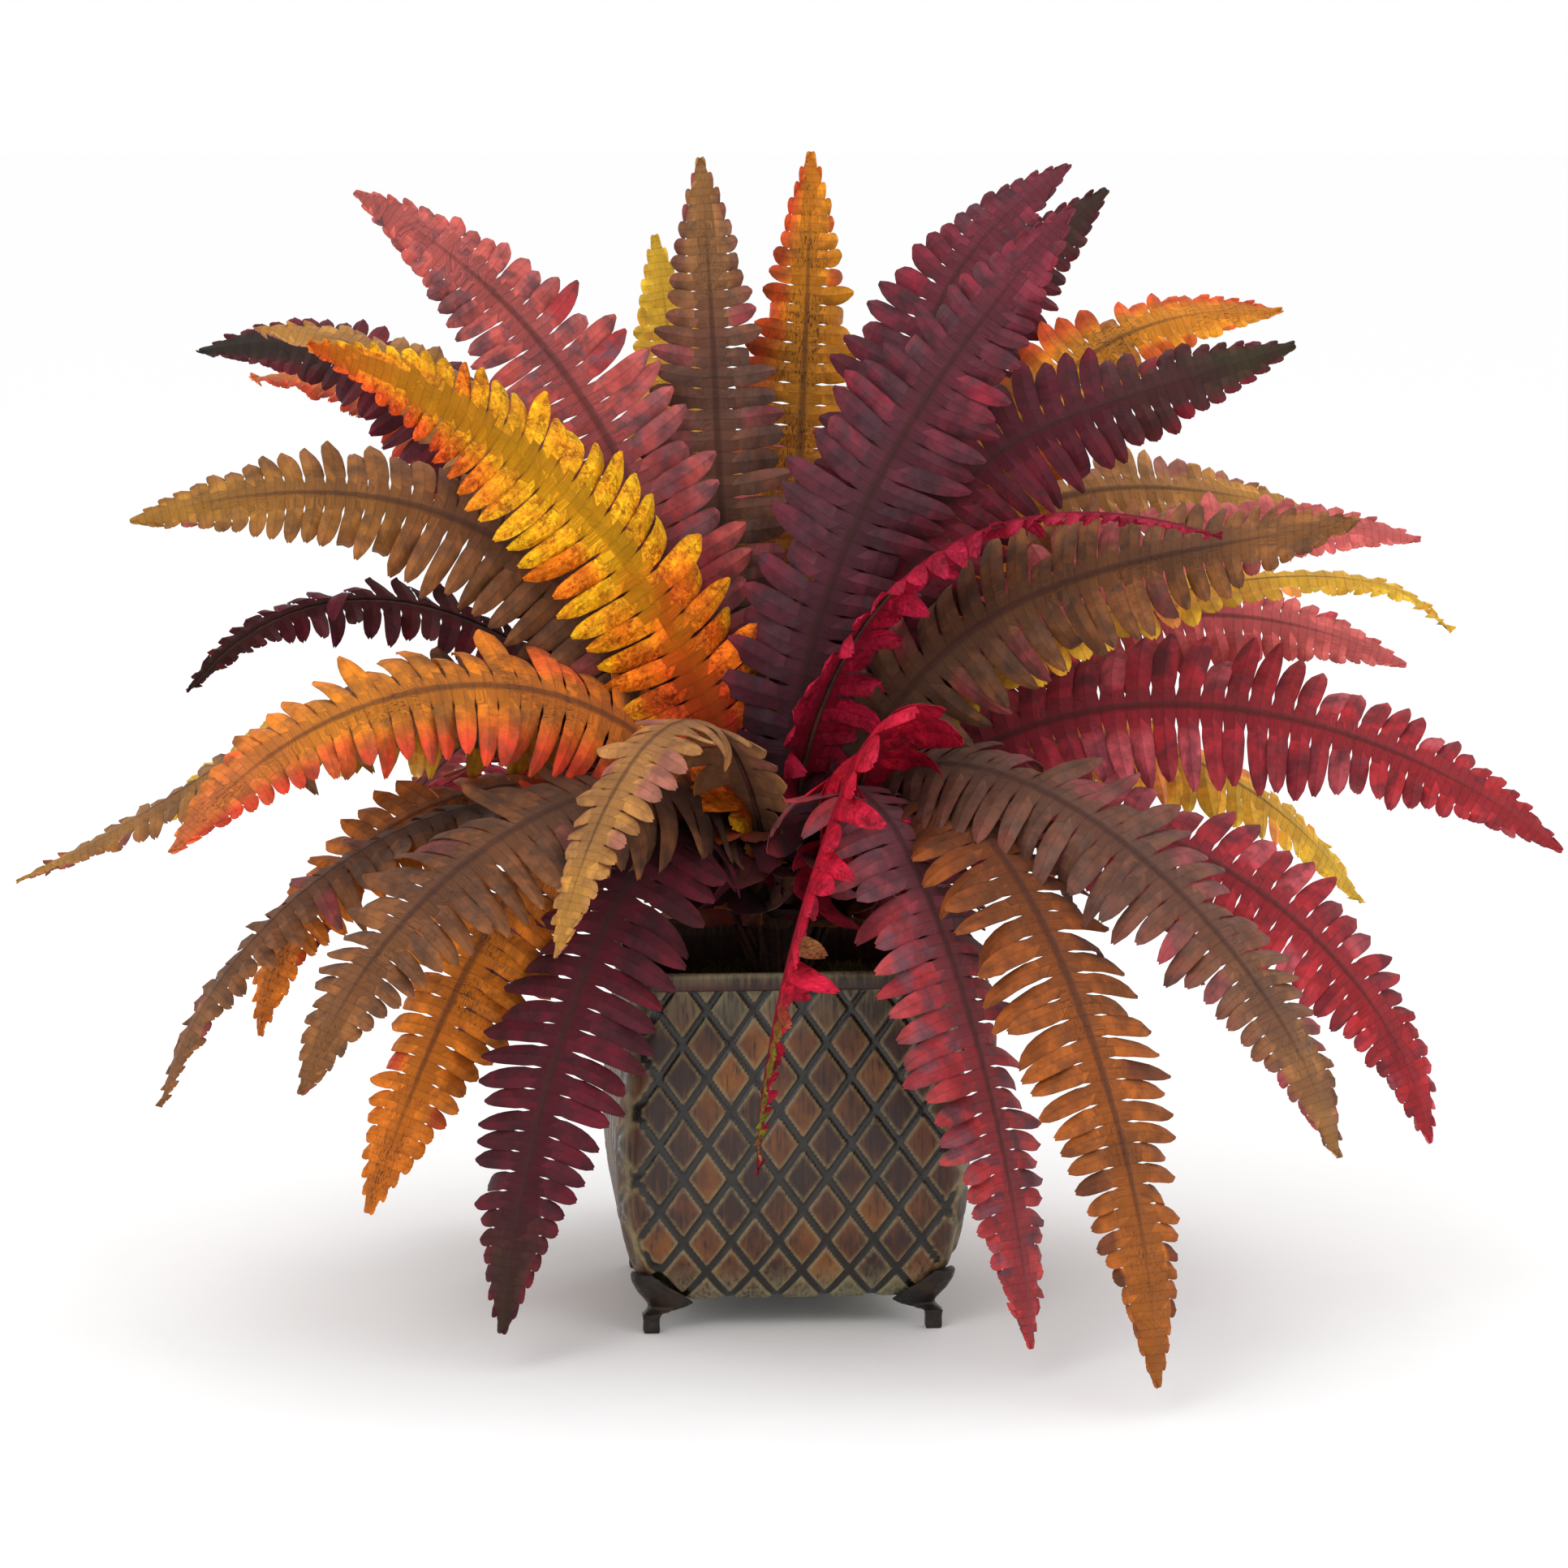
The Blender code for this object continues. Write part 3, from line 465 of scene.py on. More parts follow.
def frond_tree():
    """Leaflets in pairs along a midrib path, cut from one web of cloth, with its stem."""
    g = new_tree("cloth_frond", (
        ("Pairs", "Int"), ("Half Width", "Float"), ("Blade Length", "Float"), ("Bare Part", "Float"),
        ("Web", "Float"), ("Thickness", "Float"), ("Lean", "Float"), ("Droop", "Float"),
        ("Curl", "Float"), ("Twist", "Float"), ("Crease", "Float"), ("Stem Radius", "Float"),
        ("Seed", "Int"), ("Cloth", "Material"), ("Stem", "Material")))
    given = g.given
    pairs, half, length, bare = given["Pairs"], given["Half Width"], given["Blade Length"], given["Bare Part"]
    seed = given["Seed"]
    path = g.node("GeometryNodeMeshToCurve", given["Geometry"]).outputs[0]

    blank = g.node("GeometryNodeMeshGrid", 1.0, 1.0, LEAF_ROWS, LEAF_COLUMNS).outputs[0]
    blank = store(g, blank, "blank", g.tree.nodes.new("GeometryNodeInputPosition").outputs[0], "FLOAT_VECTOR")
    points = g.node("GeometryNodePoints", g.mul(pairs, 2.0)).outputs[0]
    leaves = g.node("GeometryNodeInstanceOnPoints", points)
    g.feed(leaves.inputs["Instance"], blank)
    numbered = store(g, leaves.outputs[0], "number", g.tree.nodes.new("GeometryNodeInputIndex").outputs[0],
                     "INT", "INSTANCE")
    sheet = g.node("GeometryNodeRealizeInstances", numbered).outputs[0]

    number = read(g, "number", "INT")
    spot = g.node("ShaderNodeSeparateXYZ", read(g, "blank", "FLOAT_VECTOR")).outputs
    row = g.mul(g.add(spot[0], 0.5), float(LEAF_ROWS - 1))
    pair = g.math("FLOOR", g.mul(number, 0.5))
    side = g.sub(g.mul(g.math("MODULO", number, 2.0), 2.0), 1.0)
    local = g.mul(spot[1], side)

    def rnd(low, high, step):
        return random_value(g, low, high, number, g.add(seed, float(step)))

    def spread(part):
        # The leaflets stand closer together towards the tip.
        return g.mul(part, g.add(1.0, g.mul(g.sub(1.0, part), 0.34)))

    def outline(at):
        grow = g.ramp(at, 0.0, 0.16, 0.65, 1.0)
        left = g.math("DIVIDE", g.sub(1.0, at), 0.4)
        taper = g.math("MINIMUM", 1.0, g.math("POWER", g.math("MAXIMUM", left, 0.0), 0.78))
        return g.mul(g.mul(half, grow), taper)

    middle = spread(g.math("DIVIDE", g.add(pair, 0.5), pairs))
    free = g.math("MAXIMUM", g.math("DIVIDE", g.sub(row, float(WEB_ROWS)), float(LEAF_ROWS - 1 - WEB_ROWS)), 0.0)
    joint = g.math("MINIMUM", g.math("DIVIDE", row, float(WEB_ROWS)), 1.0)
    notch = g.ramp(g.math("ABSOLUTE", g.sub(row, WEB_ROWS + 1.0)), 0.0, 1.0, 0.88, 1.0)
    notch = g.math("MAXIMUM", notch, g.ramp(free, 0.0, 0.001, 1.0, 0.0, smooth=False))
    point = g.sub(1.0, g.mul(g.math("POWER", free, rnd(4.2, 8.0, 11)), 0.84))
    narrow = g.mul(point, notch)
    part = g.math("DIVIDE", g.add(g.add(pair, 0.5), g.mul(local, narrow)), pairs)
    at = spread(part)
    fused = g.ramp(at, 0.7, 0.95, 0.0, 0.8)
    web = g.math("MAXIMUM", g.math("MINIMUM", given["Web"], g.mul(outline(at), 0.7)), g.mul(outline(at), fused))
    tip_reach = g.mul(outline(middle), rnd(0.93, 1.06, 12))
    reach = g.math("MAXIMUM", g.sub(tip_reach, web), 0.0)
    out = g.add(g.mul(web, joint), g.mul(reach, free))

    swing = g.math("TANGENT", g.add(given["Lean"], rnd(-0.07, 0.07, 13)))
    shift = g.add(g.mul(g.mul(reach, free), swing), g.mul(g.mul(g.mul(free, free), reach), 0.1))
    shift = g.mul(shift, g.ramp(middle, 0.6, 1.0, 1.0, 1.7))
    run = g.add(g.mul(at, length), shift)
    over = g.math("MAXIMUM", g.sub(run, length), 0.0)
    place = g.math("MINIMUM", g.math("DIVIDE", run, length), 1.0)

    wave = g.node("ShaderNodeTexNoise", g.vector(g.mul(number, 0.61), g.mul(out, 70.0), g.mul(seed, 0.77)))
    g.feed(wave.inputs["Scale"], 1.0)
    g.feed(wave.inputs["Detail"], 1.0)
    wild = g.mul(g.math("GREATER_THAN", rnd(0.0, 1.0, 14), 0.88), rnd(0.5, 1.3, 15))
    bend = g.add(g.add(g.mul(given["Curl"], rnd(-0.35, 1.0, 16)), g.mul(wild, 0.8)), 0.02)
    bend = g.mul(bend, g.ramp(middle, 0.72, 0.95, 1.0, 0.25))
    ratio = g.math("DIVIDE", out, half)
    angle = g.add(given["Droop"], g.mul(bend, g.mul(ratio, free)))
    flat_out = g.mul(out, g.math("COSINE", angle))
    height = g.mul(g.mul(out, g.math("SINE", angle)), -1.0)
    fold = g.mul(g.math("ABSOLUTE", g.mul(local, 2.0)), joint)
    height = g.sub(height, g.mul(g.mul(fold, given["Crease"]), g.ramp(middle, 0.8, 1.0, 1.0, 0.5)))
    turn = g.mul(g.math("SINE", g.mul(given["Twist"], rnd(-0.4, 1.0, 17))), g.ramp(free, 0.0, 0.55))
    pitch = g.math("DIVIDE", length, pairs)
    height = g.add(height, g.mul(g.mul(g.mul(local, narrow), pitch), g.mul(turn, 1.6)))
    height = g.add(height, g.mul(g.sub(wave.outputs[0], 0.5), g.mul(free, 0.0035)))
    inset = g.math("DIVIDE", out, g.math("MAXIMUM", outline(at), 0.004))

    values = (("along", at), ("across", g.mul(inset, side)), ("leaf", free), ("tone", rnd(0.0, 1.0, 18)),
              ("crease", g.math("ABSOLUTE", g.mul(local, 2.0))))
    for name, value in values:
        sheet = store(g, sheet, name, value)
    sheet = store(g, sheet, "flat", g.vector(g.mul(out, side), run, 0.0), "FLOAT_VECTOR")

    factor = g.add(bare, g.mul(place, g.sub(1.0, bare)))
    center = on_path(g, path, factor)
    side_way = g.vmath("NORMALIZE", on_path(g, path, factor, "side_way")[0])
    face_way = g.vmath("NORMALIZE", on_path(g, path, factor, "face_way")[0])
    target = g.vmath("ADD", center[1], g.scaled(side_way, g.mul(flat_out, side)))
    target = g.vmath("ADD", target, g.scaled(face_way, height))
    target = g.vmath("ADD", target, g.scaled(center[2], over))
    moved = g.node("GeometryNodeSetPosition", sheet)
    g.feed(moved.inputs["Position"], target)
    welded = g.node("GeometryNodeMergeByDistance", moved.outputs[0])
    g.feed(welded.inputs["Distance"], WELD)
    blade = welded.outputs[0]
    thick = g.node("GeometryNodeExtrudeMesh", blade, mode="FACES")
    g.feed(thick.inputs["Offset Scale"], given["Thickness"])
    g.feed(thick.inputs["Individual"], False)
    back = g.node("GeometryNodeFlipFaces", blade).outputs[0]
    closed = g.node("GeometryNodeMergeByDistance", joined(g, thick.outputs[0], back))
    g.feed(closed.inputs["Distance"], WELD * 0.1)
    smooth = g.node("GeometryNodeSetShadeSmooth", closed.outputs[0], domain="EDGE")
    turned = g.tree.nodes.new("GeometryNodeInputMeshEdgeAngle").outputs[0]
    g.feed(smooth.inputs["Shade Smooth"], g.node("FunctionNodeCompare", turned, SHARP_EDGE, operation="LESS_THAN",
                                                 data_type="FLOAT").outputs[0])
    blade = g.node("GeometryNodeSetMaterial", smooth.outputs[0])
    g.feed(blade.inputs["Material"], given["Cloth"])

    rib = g.node("GeometryNodeResampleCurve", path, keep_last_segment=True, mode="COUNT")
    g.feed(rib.inputs["Count"], 40)
    done = g.tree.nodes.new("GeometryNodeSplineParameter").outputs["Factor"]
    sunk = g.mul(g.ramp(done, g.mul(bare, 0.6), g.mul(bare, 1.2)), -0.0008)
    lowered = g.node("GeometryNodeSetPosition", rib.outputs[0])
    g.feed(lowered.inputs["Offset"], g.scaled(g.vmath("NORMALIZE", read(g, "face_way", "FLOAT_VECTOR")), sunk))
    thin = g.ramp(done, 0.1, 1.0, 1.0, 0.2, smooth=False)
    ring = g.node("GeometryNodeCurvePrimitiveCircle", mode="RADIUS")
    g.feed(ring.inputs["Resolution"], 6)
    g.feed(ring.inputs["Radius"], given["Stem Radius"])
    tube = g.node("GeometryNodeCurveToMesh", lowered.outputs[0], ring.outputs[0])
    g.feed(tube.inputs["Scale"], thin)
    g.feed(tube.inputs["Fill Caps"], True)
    stem = g.node("GeometryNodeSetShadeSmooth", tube.outputs[0], domain="EDGE")
    g.feed(stem.inputs["Shade Smooth"], True)
    stem = g.node("GeometryNodeSetMaterial", stem.outputs[0])
    g.feed(stem.inputs["Material"], given["Stem"])

    both = joined(g, blade.outputs[0], stem.outputs[0])
    for name in ("blank", "number", "side_way", "face_way"):
        drop = g.node("GeometryNodeRemoveAttribute", both)
        g.feed(drop.inputs["Name"], name)
        both = drop.outputs[0]
    g.feed(g.out.inputs[0], both)
    return g.tree


def moss_tree():
    """Short moss blades strewn over a surface."""
    g = new_tree("moss_tufts", (("Density", "Float"), ("Height", "Float"), ("Seed", "Int"), ("Moss", "Material")))
    given = g.given
    strewn = g.node("GeometryNodeDistributePointsOnFaces", given["Geometry"], distribute_method="RANDOM")
    g.feed(strewn.inputs["Density"], given["Density"])
    g.feed(strewn.inputs["Seed"], given["Seed"])
    up = g.node("ShaderNodeSeparateXYZ", g.tree.nodes.new("GeometryNodeInputNormal").outputs[0]).outputs[2]
    g.feed(strewn.inputs["Selection"], g.math("GREATER_THAN", up, 0.3))
    blade = g.node("GeometryNodeMeshCone", 5, 1, 2).outputs[0]
    shape = g.node("GeometryNodeTransform", blade)
    g.feed(shape.inputs["Scale"], (0.0007, 0.0007, 0.002))
    lean = g.node("FunctionNodeRandomValue", data_type="FLOAT_VECTOR")
    g.feed(lean.inputs[0], (-1.2, -1.2, 0.0))
    g.feed(lean.inputs[1], (1.2, 1.2, 6.28))
    g.feed(lean.inputs["Seed"], given["Seed"])
    size = random_value(g, 0.5, 1.4, g.tree.nodes.new("GeometryNodeInputIndex").outputs[0], given["Seed"])
    tufts = g.node("GeometryNodeInstanceOnPoints", strewn.outputs[0])
    g.feed(tufts.inputs["Instance"], shape.outputs[0])
    g.feed(tufts.inputs["Rotation"], lean.outputs[0])
    g.feed(tufts.inputs["Scale"], g.vector(size, size, g.mul(g.mul(size, given["Height"]), 250.0)))
    loose = g.node("GeometryNodeRealizeInstances", tufts.outputs[0]).outputs[0]
    coat = g.node("GeometryNodeSetMaterial", joined(g, given["Geometry"], loose))
    g.feed(coat.inputs["Material"], given["Moss"])
    g.feed(g.out.inputs[0], coat.outputs[0])
    return g.tree


def made_by_tree(name, mesh, tree, values):
    """Runs a tree over a mesh and returns the result as a plain object."""
    source = bpy.data.objects.new(name + "_source", mesh)
    bpy.context.scene.collection.objects.link(source)
    mod = source.modifiers.new("tree", "NODES")
    mod.node_group = tree
    sockets = {s.name: s.identifier for s in tree.interface.items_tree if s.in_out == "INPUT"}
    for label, value in values.items():
        mod[sockets[label]] = value
    bpy.context.view_layer.update()
    shown = source.evaluated_get(bpy.context.evaluated_depsgraph_get())
    result = bpy.data.meshes.new_from_object(shown)
    result.name = name
    bpy.data.objects.remove(source)
    piece = bpy.data.objects.new(name, result)
    bpy.context.scene.collection.objects.link(piece)
    return piece


def welded_copy(name):
    """A bmesh of a CAD node with its loose triangles joined."""
    bm = bmesh.new()
    bm.from_mesh(NODES[name].data)
    bmesh.ops.remove_doubles(bm, verts=bm.verts[:], dist=1e-6)
    return bm


def rings_from(start):
    """Vertices met on the way out from one vertex, one list for each step."""
    seen = {start}
    rings = [[start]]
    while rings[-1]:
        ring = []
        for v in rings[-1]:
            for edge in v.link_edges:
                other = edge.other_vert(v)
                if other not in seen:
                    seen.add(other)
                    ring.append(other)
        rings.append(ring)
    return rings[:-1]


def stations_of(name):
    """Centers, normals and half widths of a frond node's cross sections, crown first."""
    bm = welded_copy(name)
    ends = sorted((v for v in bm.verts if len(v.link_edges) == 4),
                  key=lambda v: v.co.x ** 2 + v.co.y ** 2)
    walks = (rings_from(v) for v in ends)
    rings = next(w for w in walks if len(w[-1]) == 1 and {len(r) for r in w[1:-1]} == {4})
    centers, normals, halves = [], [], []
    for ring in rings:
        co = [v.co.copy() for v in ring]
        if len(co) != 4:
            centers.append(co[0])
            normals.append(None)
            halves.append(0.0)
            continue
        splits = (((0, 1), (2, 3)), ((0, 2), (1, 3)), ((0, 3), (1, 2)))
        spans = []
        for (a, b), (c, d) in splits:
            for wide, thin in (((a, b), (c, d)), ((c, d), (a, b))):
                span = (co[wide[0]] - co[wide[1]]).length
                spans.append((span, wide, thin))
        span, wide, thin = max(spans, key=lambda s: s[0])
        core = (co[thin[0]] + co[thin[1]]) * 0.5
        normal = (co[thin[0]] - co[thin[1]]).normalized()
        if normal.dot(core - (co[wide[0]] + co[wide[1]]) * 0.5) < 0.0:
            normal.negate()
        centers.append(core)
        normals.append(normal)
        halves.append(span * 0.5)
    bm.free()
    normals[0] = normals[1]
    normals[-1] = normals[-2]
    best = halves.index(max(halves))
    for step in (1, -1):
        i = best
        while 0 <= i + step < len(normals):
            if normals[i + step].dot(normals[i]) < 0.0:
                normals[i + step] = -normals[i + step]
            i += step
    return centers, normals, halves


def curve_point(points, i, f):
    """Catmull-Rom point between points i and i + 1."""
    a = points[max(i - 1, 0)]
    b = points[i]
    c = points[i + 1]
    d = points[min(i + 2, len(points) - 1)]
    return ((b * 2.0) + (c - a) * f + (a * 2.0 - b * 5.0 + c * 4.0 - d) * f * f
            + (b * 3.0 - a - c * 3.0 + d) * f * f * f) * 0.5


def path_mesh(name, centers, normals):
    """An even polyline through the stations with its side and face directions."""
    fine = []
    for i in range(len(centers) - 1):
        for k in range(12):
            f = k / 12.0
            fine.append((curve_point(centers, i, f), normals[i].lerp(normals[i + 1], f)))
    fine.append((centers[-1].copy(), normals[-1].copy()))
    run = [0.0]
    for i in range(1, len(fine)):
        run.append(run[-1] + (fine[i][0] - fine[i - 1][0]).length)
    total = run[-1]
    points, faces = [], []
    k = 0
    for step in range(PATH_STEPS + 1):
        want = total * step / PATH_STEPS
        while k < len(fine) - 2 and run[k + 1] < want:
            k += 1
        f = (want - run[k]) / max(run[k + 1] - run[k], 1e-9)
        points.append(fine[k][0].lerp(fine[k + 1][0], f))
        faces.append(fine[k][1].lerp(fine[k + 1][1], f))
    mesh = bpy.data.meshes.new(name + "_path")
    mesh.from_pydata([tuple(p) for p in points], [(i, i + 1) for i in range(PATH_STEPS)], [])
    side_way = mesh.attributes.new("side_way", "FLOAT_VECTOR", "POINT")
    face_way = mesh.attributes.new("face_way", "FLOAT_VECTOR", "POINT")
    for i in range(PATH_STEPS + 1):
        tangent = (points[min(i + 1, PATH_STEPS)] - points[max(i - 1, 0)]).normalized()
        face = (faces[i] - tangent * faces[i].dot(tangent)).normalized()
        side = tangent.cross(face)
        roll = math.radians(ROLLS.get(name, 0.0))
        side_way.data[i].vector = side * math.cos(roll) - face * math.sin(roll)
        face_way.data[i].vector = face * math.cos(roll) + side * math.sin(roll)
    return mesh, total


# Half width of the planter's wall at each height, as the CAD shell has it.
WALL = ((0.0140, 0.0595), (0.0185, 0.0635), (0.0275, 0.0678), (0.0380, 0.0712), (0.0520, 0.0738),
        (0.0700, 0.0752), (0.0900, 0.0748), (0.1120, 0.0728), (0.1330, 0.0702), (0.1480, 0.0688))
COLLAR = ((0.1484, 0.0700), (0.1488, 0.0712), (0.1500, 0.0715), (0.1545, 0.0715), (0.1557, 0.0711), (0.1560, 0.0704))
MOUTH = ((0.1560, 0.0690), (0.1552, 0.0684), (0.1480, 0.0670), (0.1330, 0.0684), (0.1120, 0.0710),
         (0.0900, 0.0730), (0.0700, 0.0734), (0.0520, 0.0720), (0.0380, 0.0694), (0.0275, 0.0660),
         (0.0185, 0.0617), (0.0162, 0.0590))
CORNER = 0.013
FACE_COLUMNS = 104
CORNER_COLUMNS = 8
WALL_ROWS = 104


def wall_curve():
    """Wall stations evenly spaced along the profile: height, half width, slope, run from the foot."""
    pts = [Vector((h, z, 0.0)) for z, h in WALL]
    fine = []
    for i in range(len(pts) - 1):
        for k in range(20):
            fine.append(curve_point(pts, i, k / 20.0))
    fine.append(pts[-1])
    run = [0.0]
    for i in range(1, len(fine)):
        run.append(run[-1] + (fine[i] - fine[i - 1]).length)
    out = []
    k = 0
    for row in range(WALL_ROWS + 1):
        want = run[-1] * row / WALL_ROWS
        while k < len(fine) - 2 and run[k + 1] < want:
            k += 1
        f = (want - run[k]) / max(run[k + 1] - run[k], 1e-9)
        p = fine[k].lerp(fine[k + 1], f)
        d = (fine[k + 1] - fine[k]).normalized()
        out.append((p.y, p.x, d.x / max(d.y, 0.2), want))
    return out


def square_loop(half):
    """Points round a rounded square: place, outward normal, face number, distance from the face's middle."""
    straight = half - CORNER
    out = []
    for face in range(4):
        c, s = math.cos(face * math.pi / 2), math.sin(face * math.pi / 2)

        def put(x, y, nx, ny, owner, u):
            out.append((x * c - y * s, x * s + y * c, nx * c - ny * s, nx * s + ny * c, owner % 4, u))

        for i in range(FACE_COLUMNS):
            x = -straight + 2.0 * straight * i / FACE_COLUMNS
            put(x, -half, 0.0, -1.0, face, x)
        for i in range(CORNER_COLUMNS):
            a = math.pi / 2 * i / CORNER_COLUMNS
            x = straight + CORNER * math.sin(a)
            y = -straight - CORNER * math.cos(a)
            if a < math.pi / 4:
                put(x, y, math.sin(a), -math.cos(a), face, x)
            else:
                put(x, y, math.sin(a), -math.cos(a), face + 1, y)
    return out


def lattice(u, v, face, cfg):
    """Groove depth, closeness to a groove and a random tone of the diamond at one place."""
    wide, tall = cfg.diamond_width, cfg.diamond_height
    a = (u - cfg.diamond_shift) / wide + (v - 0.0015) / tall
    b = (u - cfg.diamond_shift) / wide - (v - 0.0015) / tall
    scale = wide * tall / math.hypot(wide, tall)
    near = min(abs(a - round(a)), abs(b - round(b))) * scale
    half = cfg.groove_width * 0.5
    t = min(max((near - half * 0.45) / (half * 1.1), 0.0), 1.0)
    groove = 1.0 - t * t * (3.0 - 2.0 * t)
    rub = 1.0 - min(max((near - half) / 0.0045, 0.0), 1.0)
    pick = random.Random(math.floor(a) * 7919 + math.floor(b) * 104729 + face * 31 + 5)
    return groove, rub, pick.random()


def planter_mesh(cfg):
    """The planter: a pressed lattice outside, a collar, a smooth inside and a closed floor."""
    rings = []
    for z, half, slope, run in wall_curve():
        ring = []
        for x, y, nx, ny, face, u in square_loop(half):
            groove, rub, cell = lattice(u, run, face, cfg)
            edge = min(max((half + 0.0 - abs(u)) / 0.012, 0.0), 1.0)
            groove *= min(max((edge - 0.3) * 2.5, 0.0), 1.0)
            n = Vector((nx, ny, -slope)).normalized()
            p = Vector((x, y, z)) - n * groove * cfg.groove_depth
            low = max(1.0 - run / 0.020, (run - 0.118) / 0.03, 0.0)
            corner = max(1.0 - edge * 1.6, 0.0)
            ring.append((p, groove, rub, cell, min(max(low, corner * 0.9), 1.0)))
        rings.append(ring)
    for z, half in COLLAR + MOUTH:
        rings.append([(Vector((x, y, z)), 0.0, 0.75 if z > 0.15 else 0.0, 0.4, 0.5 if z > 0.15 else 0.0)
                      for x, y, nx, ny, face, u in square_loop(half)])
    bm = bmesh.new()
    layers = [bm.verts.layers.float.new(n) for n in ("groove", "rub", "cell", "low")]
    loops = []
    for ring in rings:
        loop = []
        for p, groove, rub, cell, low in ring:
            v = bm.verts.new(p)
            for layer, value in zip(layers, (groove, rub, cell, low)):
                v[layer] = value
            loop.append(v)
        loops.append(loop)
    count = len(loops[0])
    for lower, upper in zip(loops, loops[1:]):
        for i in range(count):
            j = (i + 1) % count
            bm.faces.new((lower[i], lower[j], upper[j], upper[i]))
    under = bm.verts.new((0.0, 0.0, WALL[0][0]))
    floor = bm.verts.new((0.0, 0.0, MOUTH[-1][0]))
    for i in range(count):
        j = (i + 1) % count
        bm.faces.new((under, loops[0][j], loops[0][i]))
        bm.faces.new((floor, loops[-1][i], loops[-1][j]))
    for face in bm.faces:
        face.smooth = True
    mesh = bpy.data.meshes.new("planter")
    bm.to_mesh(mesh)
    bm.free()
    return mesh


def keep_piece(name, mesh, material, nodes):
    """Links a finished mesh and tells the frame what it stands for."""
    piece = bpy.data.objects.new(name, mesh)
    bpy.context.scene.collection.objects.link(piece)
    mesh.materials.clear()
    mesh.materials.append(material)
    declare(piece, nodes)
    return piece


def declare(piece, nodes):
    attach(piece, "root")
    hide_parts(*nodes)


class FernSettings(bpy.types.PropertyGroup):
    """Sizes of the leaflets, the planter and the moss."""

    leaf_pitch: bpy.props.FloatProperty(name="Leaflet pitch", description="Distance between leaflets at mid blade",
                                        default=0.0098, min=0.004, unit="LENGTH", precision=4)
    web_width: bpy.props.FloatProperty(name="Web width", description="Uncut cloth on each side of the midrib",
                                       default=0.0052, min=0.001, unit="LENGTH", precision=4)
    thickness: bpy.props.FloatProperty(name="Cloth thickness", description="Thickness of the cloth",
                                       default=0.00035, min=0.0001, unit="LENGTH", precision=5)
    lean: bpy.props.FloatProperty(name="Lean", description="Lean of the leaflets towards the tip",
                                  default=math.radians(4), subtype="ANGLE")
    droop: bpy.props.FloatProperty(name="Droop", description="Angle of both halves of the blade below its midrib",
                                   default=math.radians(7), subtype="ANGLE")
    curl: bpy.props.FloatProperty(name="Curl", description="How far leaflets bend down towards their ends",
                                  default=math.radians(26), subtype="ANGLE")
    twist: bpy.props.FloatProperty(name="Twist", description="How far leaflets turn about their own length",
                                   default=math.radians(22), subtype="ANGLE")
    crease: bpy.props.FloatProperty(name="Crease", description="Height of the fold along a leaflet",
                                    default=0.0011, unit="LENGTH", precision=4)
    stem_radius: bpy.props.FloatProperty(name="Stem radius", description="Radius of the bare stem",
                                         default=0.0013, unit="LENGTH", precision=4)
    diamond_width: bpy.props.FloatProperty(name="Diamond width", description="Width of a diamond on the planter",
                                           default=0.0202, unit="LENGTH", precision=4)
    diamond_height: bpy.props.FloatProperty(name="Diamond height", description="Height of a diamond up the wall",
                                            default=0.0285, unit="LENGTH", precision=4)
    diamond_shift: bpy.props.FloatProperty(name="Diamond shift", description="Sideways place of the lattice",
                                           default=-0.0068, unit="LENGTH", precision=4)
    groove_width: bpy.props.FloatProperty(name="Groove width", description="Width of the lattice grooves",
                                          default=0.0030, unit="LENGTH", precision=4)
    groove_depth: bpy.props.FloatProperty(name="Groove depth", description="Depth of the lattice grooves",
                                          default=0.0012, unit="LENGTH", precision=4)
    moss_density: bpy.props.FloatProperty(name="Moss density", description="Moss blades for each square metre",
                                          default=260000.0)
    moss_height: bpy.props.FloatProperty(name="Moss height", description="Height of the moss blades",
                                         default=0.004, unit="LENGTH", precision=4)
    sky_strength: bpy.props.FloatProperty(name="Sky strength", description="Brightness of the even surrounding light",
                                          default=1.0)


class FERN_OT_fronds(bpy.types.Operator):
    """Build every frond round the path of its CAD node"""

    bl_idname = "fern.fronds"
    bl_label = "Fronds"

    def execute(self, context):
        cfg = context.scene.fern
        tree = frond_tree()
        stem = stem_material()
        for name in FROND_NAMES:
            seed = int(name[-2:])
            centers, normals, halves = stations_of(name)
            mesh, total = path_mesh(name, centers, normals)
            bare = sum((centers[i + 1] - centers[i]).length for i in range(BARE_STATION)) / total * BARE_SHARE
            length = total * (1.0 - bare)
            pairs = max(12, round(length / cfg.leaf_pitch))
            cloth = cloth_material(name, seed)
            piece = made_by_tree(name + "_cloth", mesh, tree, {
                "Pairs": pairs, "Half Width": max(halves), "Blade Length": length, "Bare Part": bare,
                "Web": cfg.web_width, "Thickness": cfg.thickness, "Lean": cfg.lean, "Droop": cfg.droop,
                "Curl": cfg.curl, "Twist": cfg.twist, "Crease": cfg.crease, "Stem Radius": cfg.stem_radius,
                "Seed": seed * 101, "Cloth": cloth, "Stem": stem})
            if len(piece.data.polygons) < pairs * 40:
                raise RuntimeError(name + ": the leaflets are missing")
            declare(piece, (name,))
        return {"FINISHED"}


class FERN_OT_planter(bpy.types.Operator):
    """Build the pressed metal planter"""

    bl_idname = "fern.planter"
    bl_label = "Planter"

    def execute(self, context):
        mesh = planter_mesh(context.scene.fern)
        keep_piece("planter_lattice", mesh, metal_material(), ("planter_shell",))
        return {"FINISHED"}


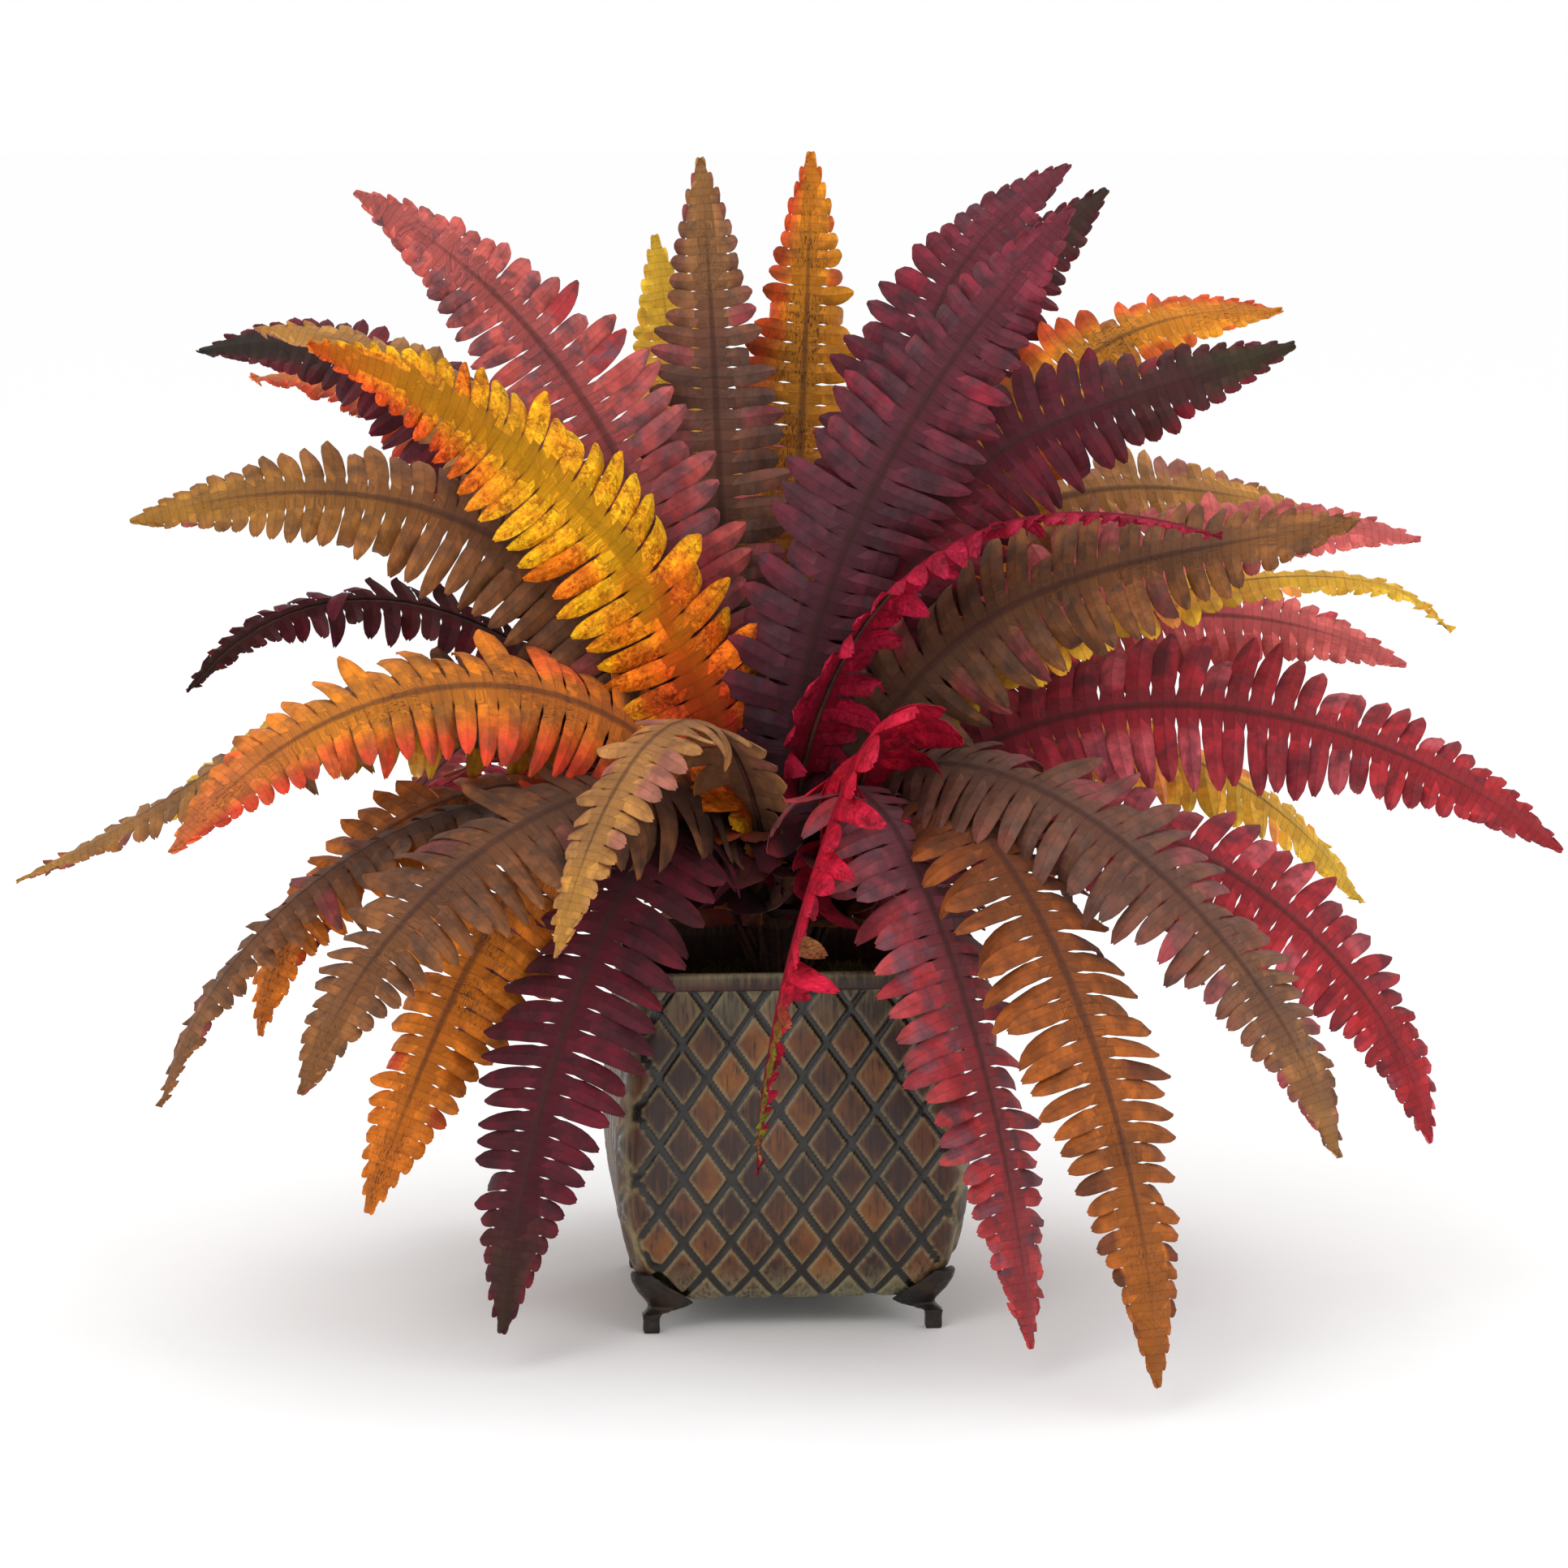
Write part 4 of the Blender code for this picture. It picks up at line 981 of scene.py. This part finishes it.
class FERN_OT_feet(bpy.types.Operator):
    """Build the four cast feet from their CAD nodes"""

    bl_idname = "fern.feet"
    bl_label = "Feet"

    def execute(self, context):
        iron = iron_material()
        for name in FOOT_NAMES:
            bm = welded_copy(name)
            mesh = bpy.data.meshes.new(name)
            bm.to_mesh(mesh)
            bm.free()
            source = bpy.data.objects.new(name + "_source", mesh)
            context.scene.collection.objects.link(source)
            grid = source.modifiers.new("grid", "REMESH")
            grid.mode = "VOXEL"
            grid.voxel_size = 0.0008
            soft = source.modifiers.new("soft", "SMOOTH")
            soft.factor = 0.6
            soft.iterations = 5
            context.view_layer.update()
            shown = source.evaluated_get(context.evaluated_depsgraph_get())
            done = bpy.data.meshes.new_from_object(shown)
            bpy.data.objects.remove(source)
            done.name = name + "_cast"
            for face in done.polygons:
                face.use_smooth = True
            keep_piece(name + "_cast", done, iron, (name,))
        return {"FINISHED"}


class FERN_OT_filling(bpy.types.Operator):
    """Build the moss and finish the foam and the crown stub"""

    bl_idname = "fern.filling"
    bl_label = "Moss, foam and crown"

    def execute(self, context):
        cfg = context.scene.fern
        bm = welded_copy("moss_cover")
        mesh = bpy.data.meshes.new("moss_base")
        bm.to_mesh(mesh)
        bm.free()
        moss = moss_material()
        piece = made_by_tree("moss_tufts", mesh, moss_tree(), {
            "Density": cfg.moss_density, "Height": cfg.moss_height, "Seed": 11, "Moss": moss})
        declare(piece, ("moss_cover",))
        for name, material in (("foam_block", foam_material()), ("crown_stem", stem_material())):
            NODES[name].data.materials.clear()
            NODES[name].data.materials.append(material)
        return {"FINISHED"}


TARGET = Vector((0.0, 0.0, 0.226))
CAMERA_TURN = math.radians(-4.5)
CAMERA_RISE = math.radians(8.0)
CAMERA_DISTANCE = 2.2
CAMERA_ASIDE = 0.00105
CAMERA_LENS = 117.16


class FERN_OT_stage(bpy.types.Operator):
    """Build the floor, the lights and the camera"""

    bl_idname = "fern.stage"
    bl_label = "Stage"

    def execute(self, context):
        scene = context.scene
        cfg = scene.fern
        bm = bmesh.new()
        bmesh.ops.create_circle(bm, cap_ends=True, segments=64, radius=30.0)
        mesh = bpy.data.meshes.new("floor")
        bm.to_mesh(mesh)
        bm.free()
        mesh.materials.append(floor_material())
        floor = bpy.data.objects.new("floor", mesh)
        scene.collection.objects.link(floor)

        world = bpy.data.worlds.new("studio")
        world.use_nodes = True
        sky = world.node_tree.nodes["Background"]
        sky.inputs["Color"].default_value = (1.0, 1.0, 1.0, 1.0)
        sky.inputs["Strength"].default_value = cfg.sky_strength
        scene.world = world
        lamps = (("key", (-1.3, -2.2, 2.1), 1.5, 17.0), ("fill", (1.9, -2.0, 1.1), 1.8, 8.0),
                 ("top", (0.2, 0.9, 2.6), 1.6, 8.0))
        for name, place, size, power in lamps:
            light = bpy.data.lights.new(name, "AREA")
            light.shape = "DISK"
            light.size = size
            light.energy = power
            lamp = bpy.data.objects.new(name, light)
            lamp.location = place
            lamp.rotation_euler = (TARGET - Vector(place)).to_track_quat("-Z", "Y").to_euler()
            scene.collection.objects.link(lamp)

        back = Vector((math.sin(CAMERA_TURN) * math.cos(CAMERA_RISE),
                       -math.cos(CAMERA_TURN) * math.cos(CAMERA_RISE), math.sin(CAMERA_RISE)))
        right = Vector((math.cos(CAMERA_TURN), math.sin(CAMERA_TURN), 0.0))
        lens = bpy.data.cameras.new("camera")
        lens.lens = CAMERA_LENS
        lens.sensor_width = 36.0
        camera = bpy.data.objects.new("camera", lens)
        camera.location = TARGET + back * CAMERA_DISTANCE + right * CAMERA_ASIDE
        camera.rotation_euler = (-back).to_track_quat("-Z", "Y").to_euler()
        scene.collection.objects.link(camera)
        scene.camera = camera
        scene.view_settings.view_transform = "Standard"
        return {"FINISHED"}


BUILDERS = (FERN_OT_fronds, FERN_OT_planter, FERN_OT_feet, FERN_OT_filling, FERN_OT_stage)


class FERN_PT_sidebar(bpy.types.Panel):
    """Sizes and build buttons of the fern"""

    bl_idname = "FERN_PT_sidebar"
    bl_label = "Potted cloth fern"
    bl_space_type = "VIEW_3D"
    bl_region_type = "UI"
    bl_category = "Fern"

    def draw(self, context):
        cfg = context.scene.fern
        column = self.layout.column()
        for name in FernSettings.__annotations__:
            column.prop(cfg, name)
        for builder in BUILDERS:
            column.operator(builder.bl_idname)


CLASSES = (FernSettings,) + BUILDERS + (FERN_PT_sidebar,)


def register():
    for cls in CLASSES:
        bpy.utils.register_class(cls)
    bpy.types.Scene.fern = bpy.props.PointerProperty(type=FernSettings)


def unregister():
    del bpy.types.Scene.fern
    for cls in reversed(CLASSES):
        bpy.utils.unregister_class(cls)


def main():
    register()
    bpy.ops.fern.fronds()
    bpy.ops.fern.planter()
    bpy.ops.fern.feet()
    bpy.ops.fern.filling()
    bpy.ops.fern.stage()


if __name__ == "__main__":
    main()
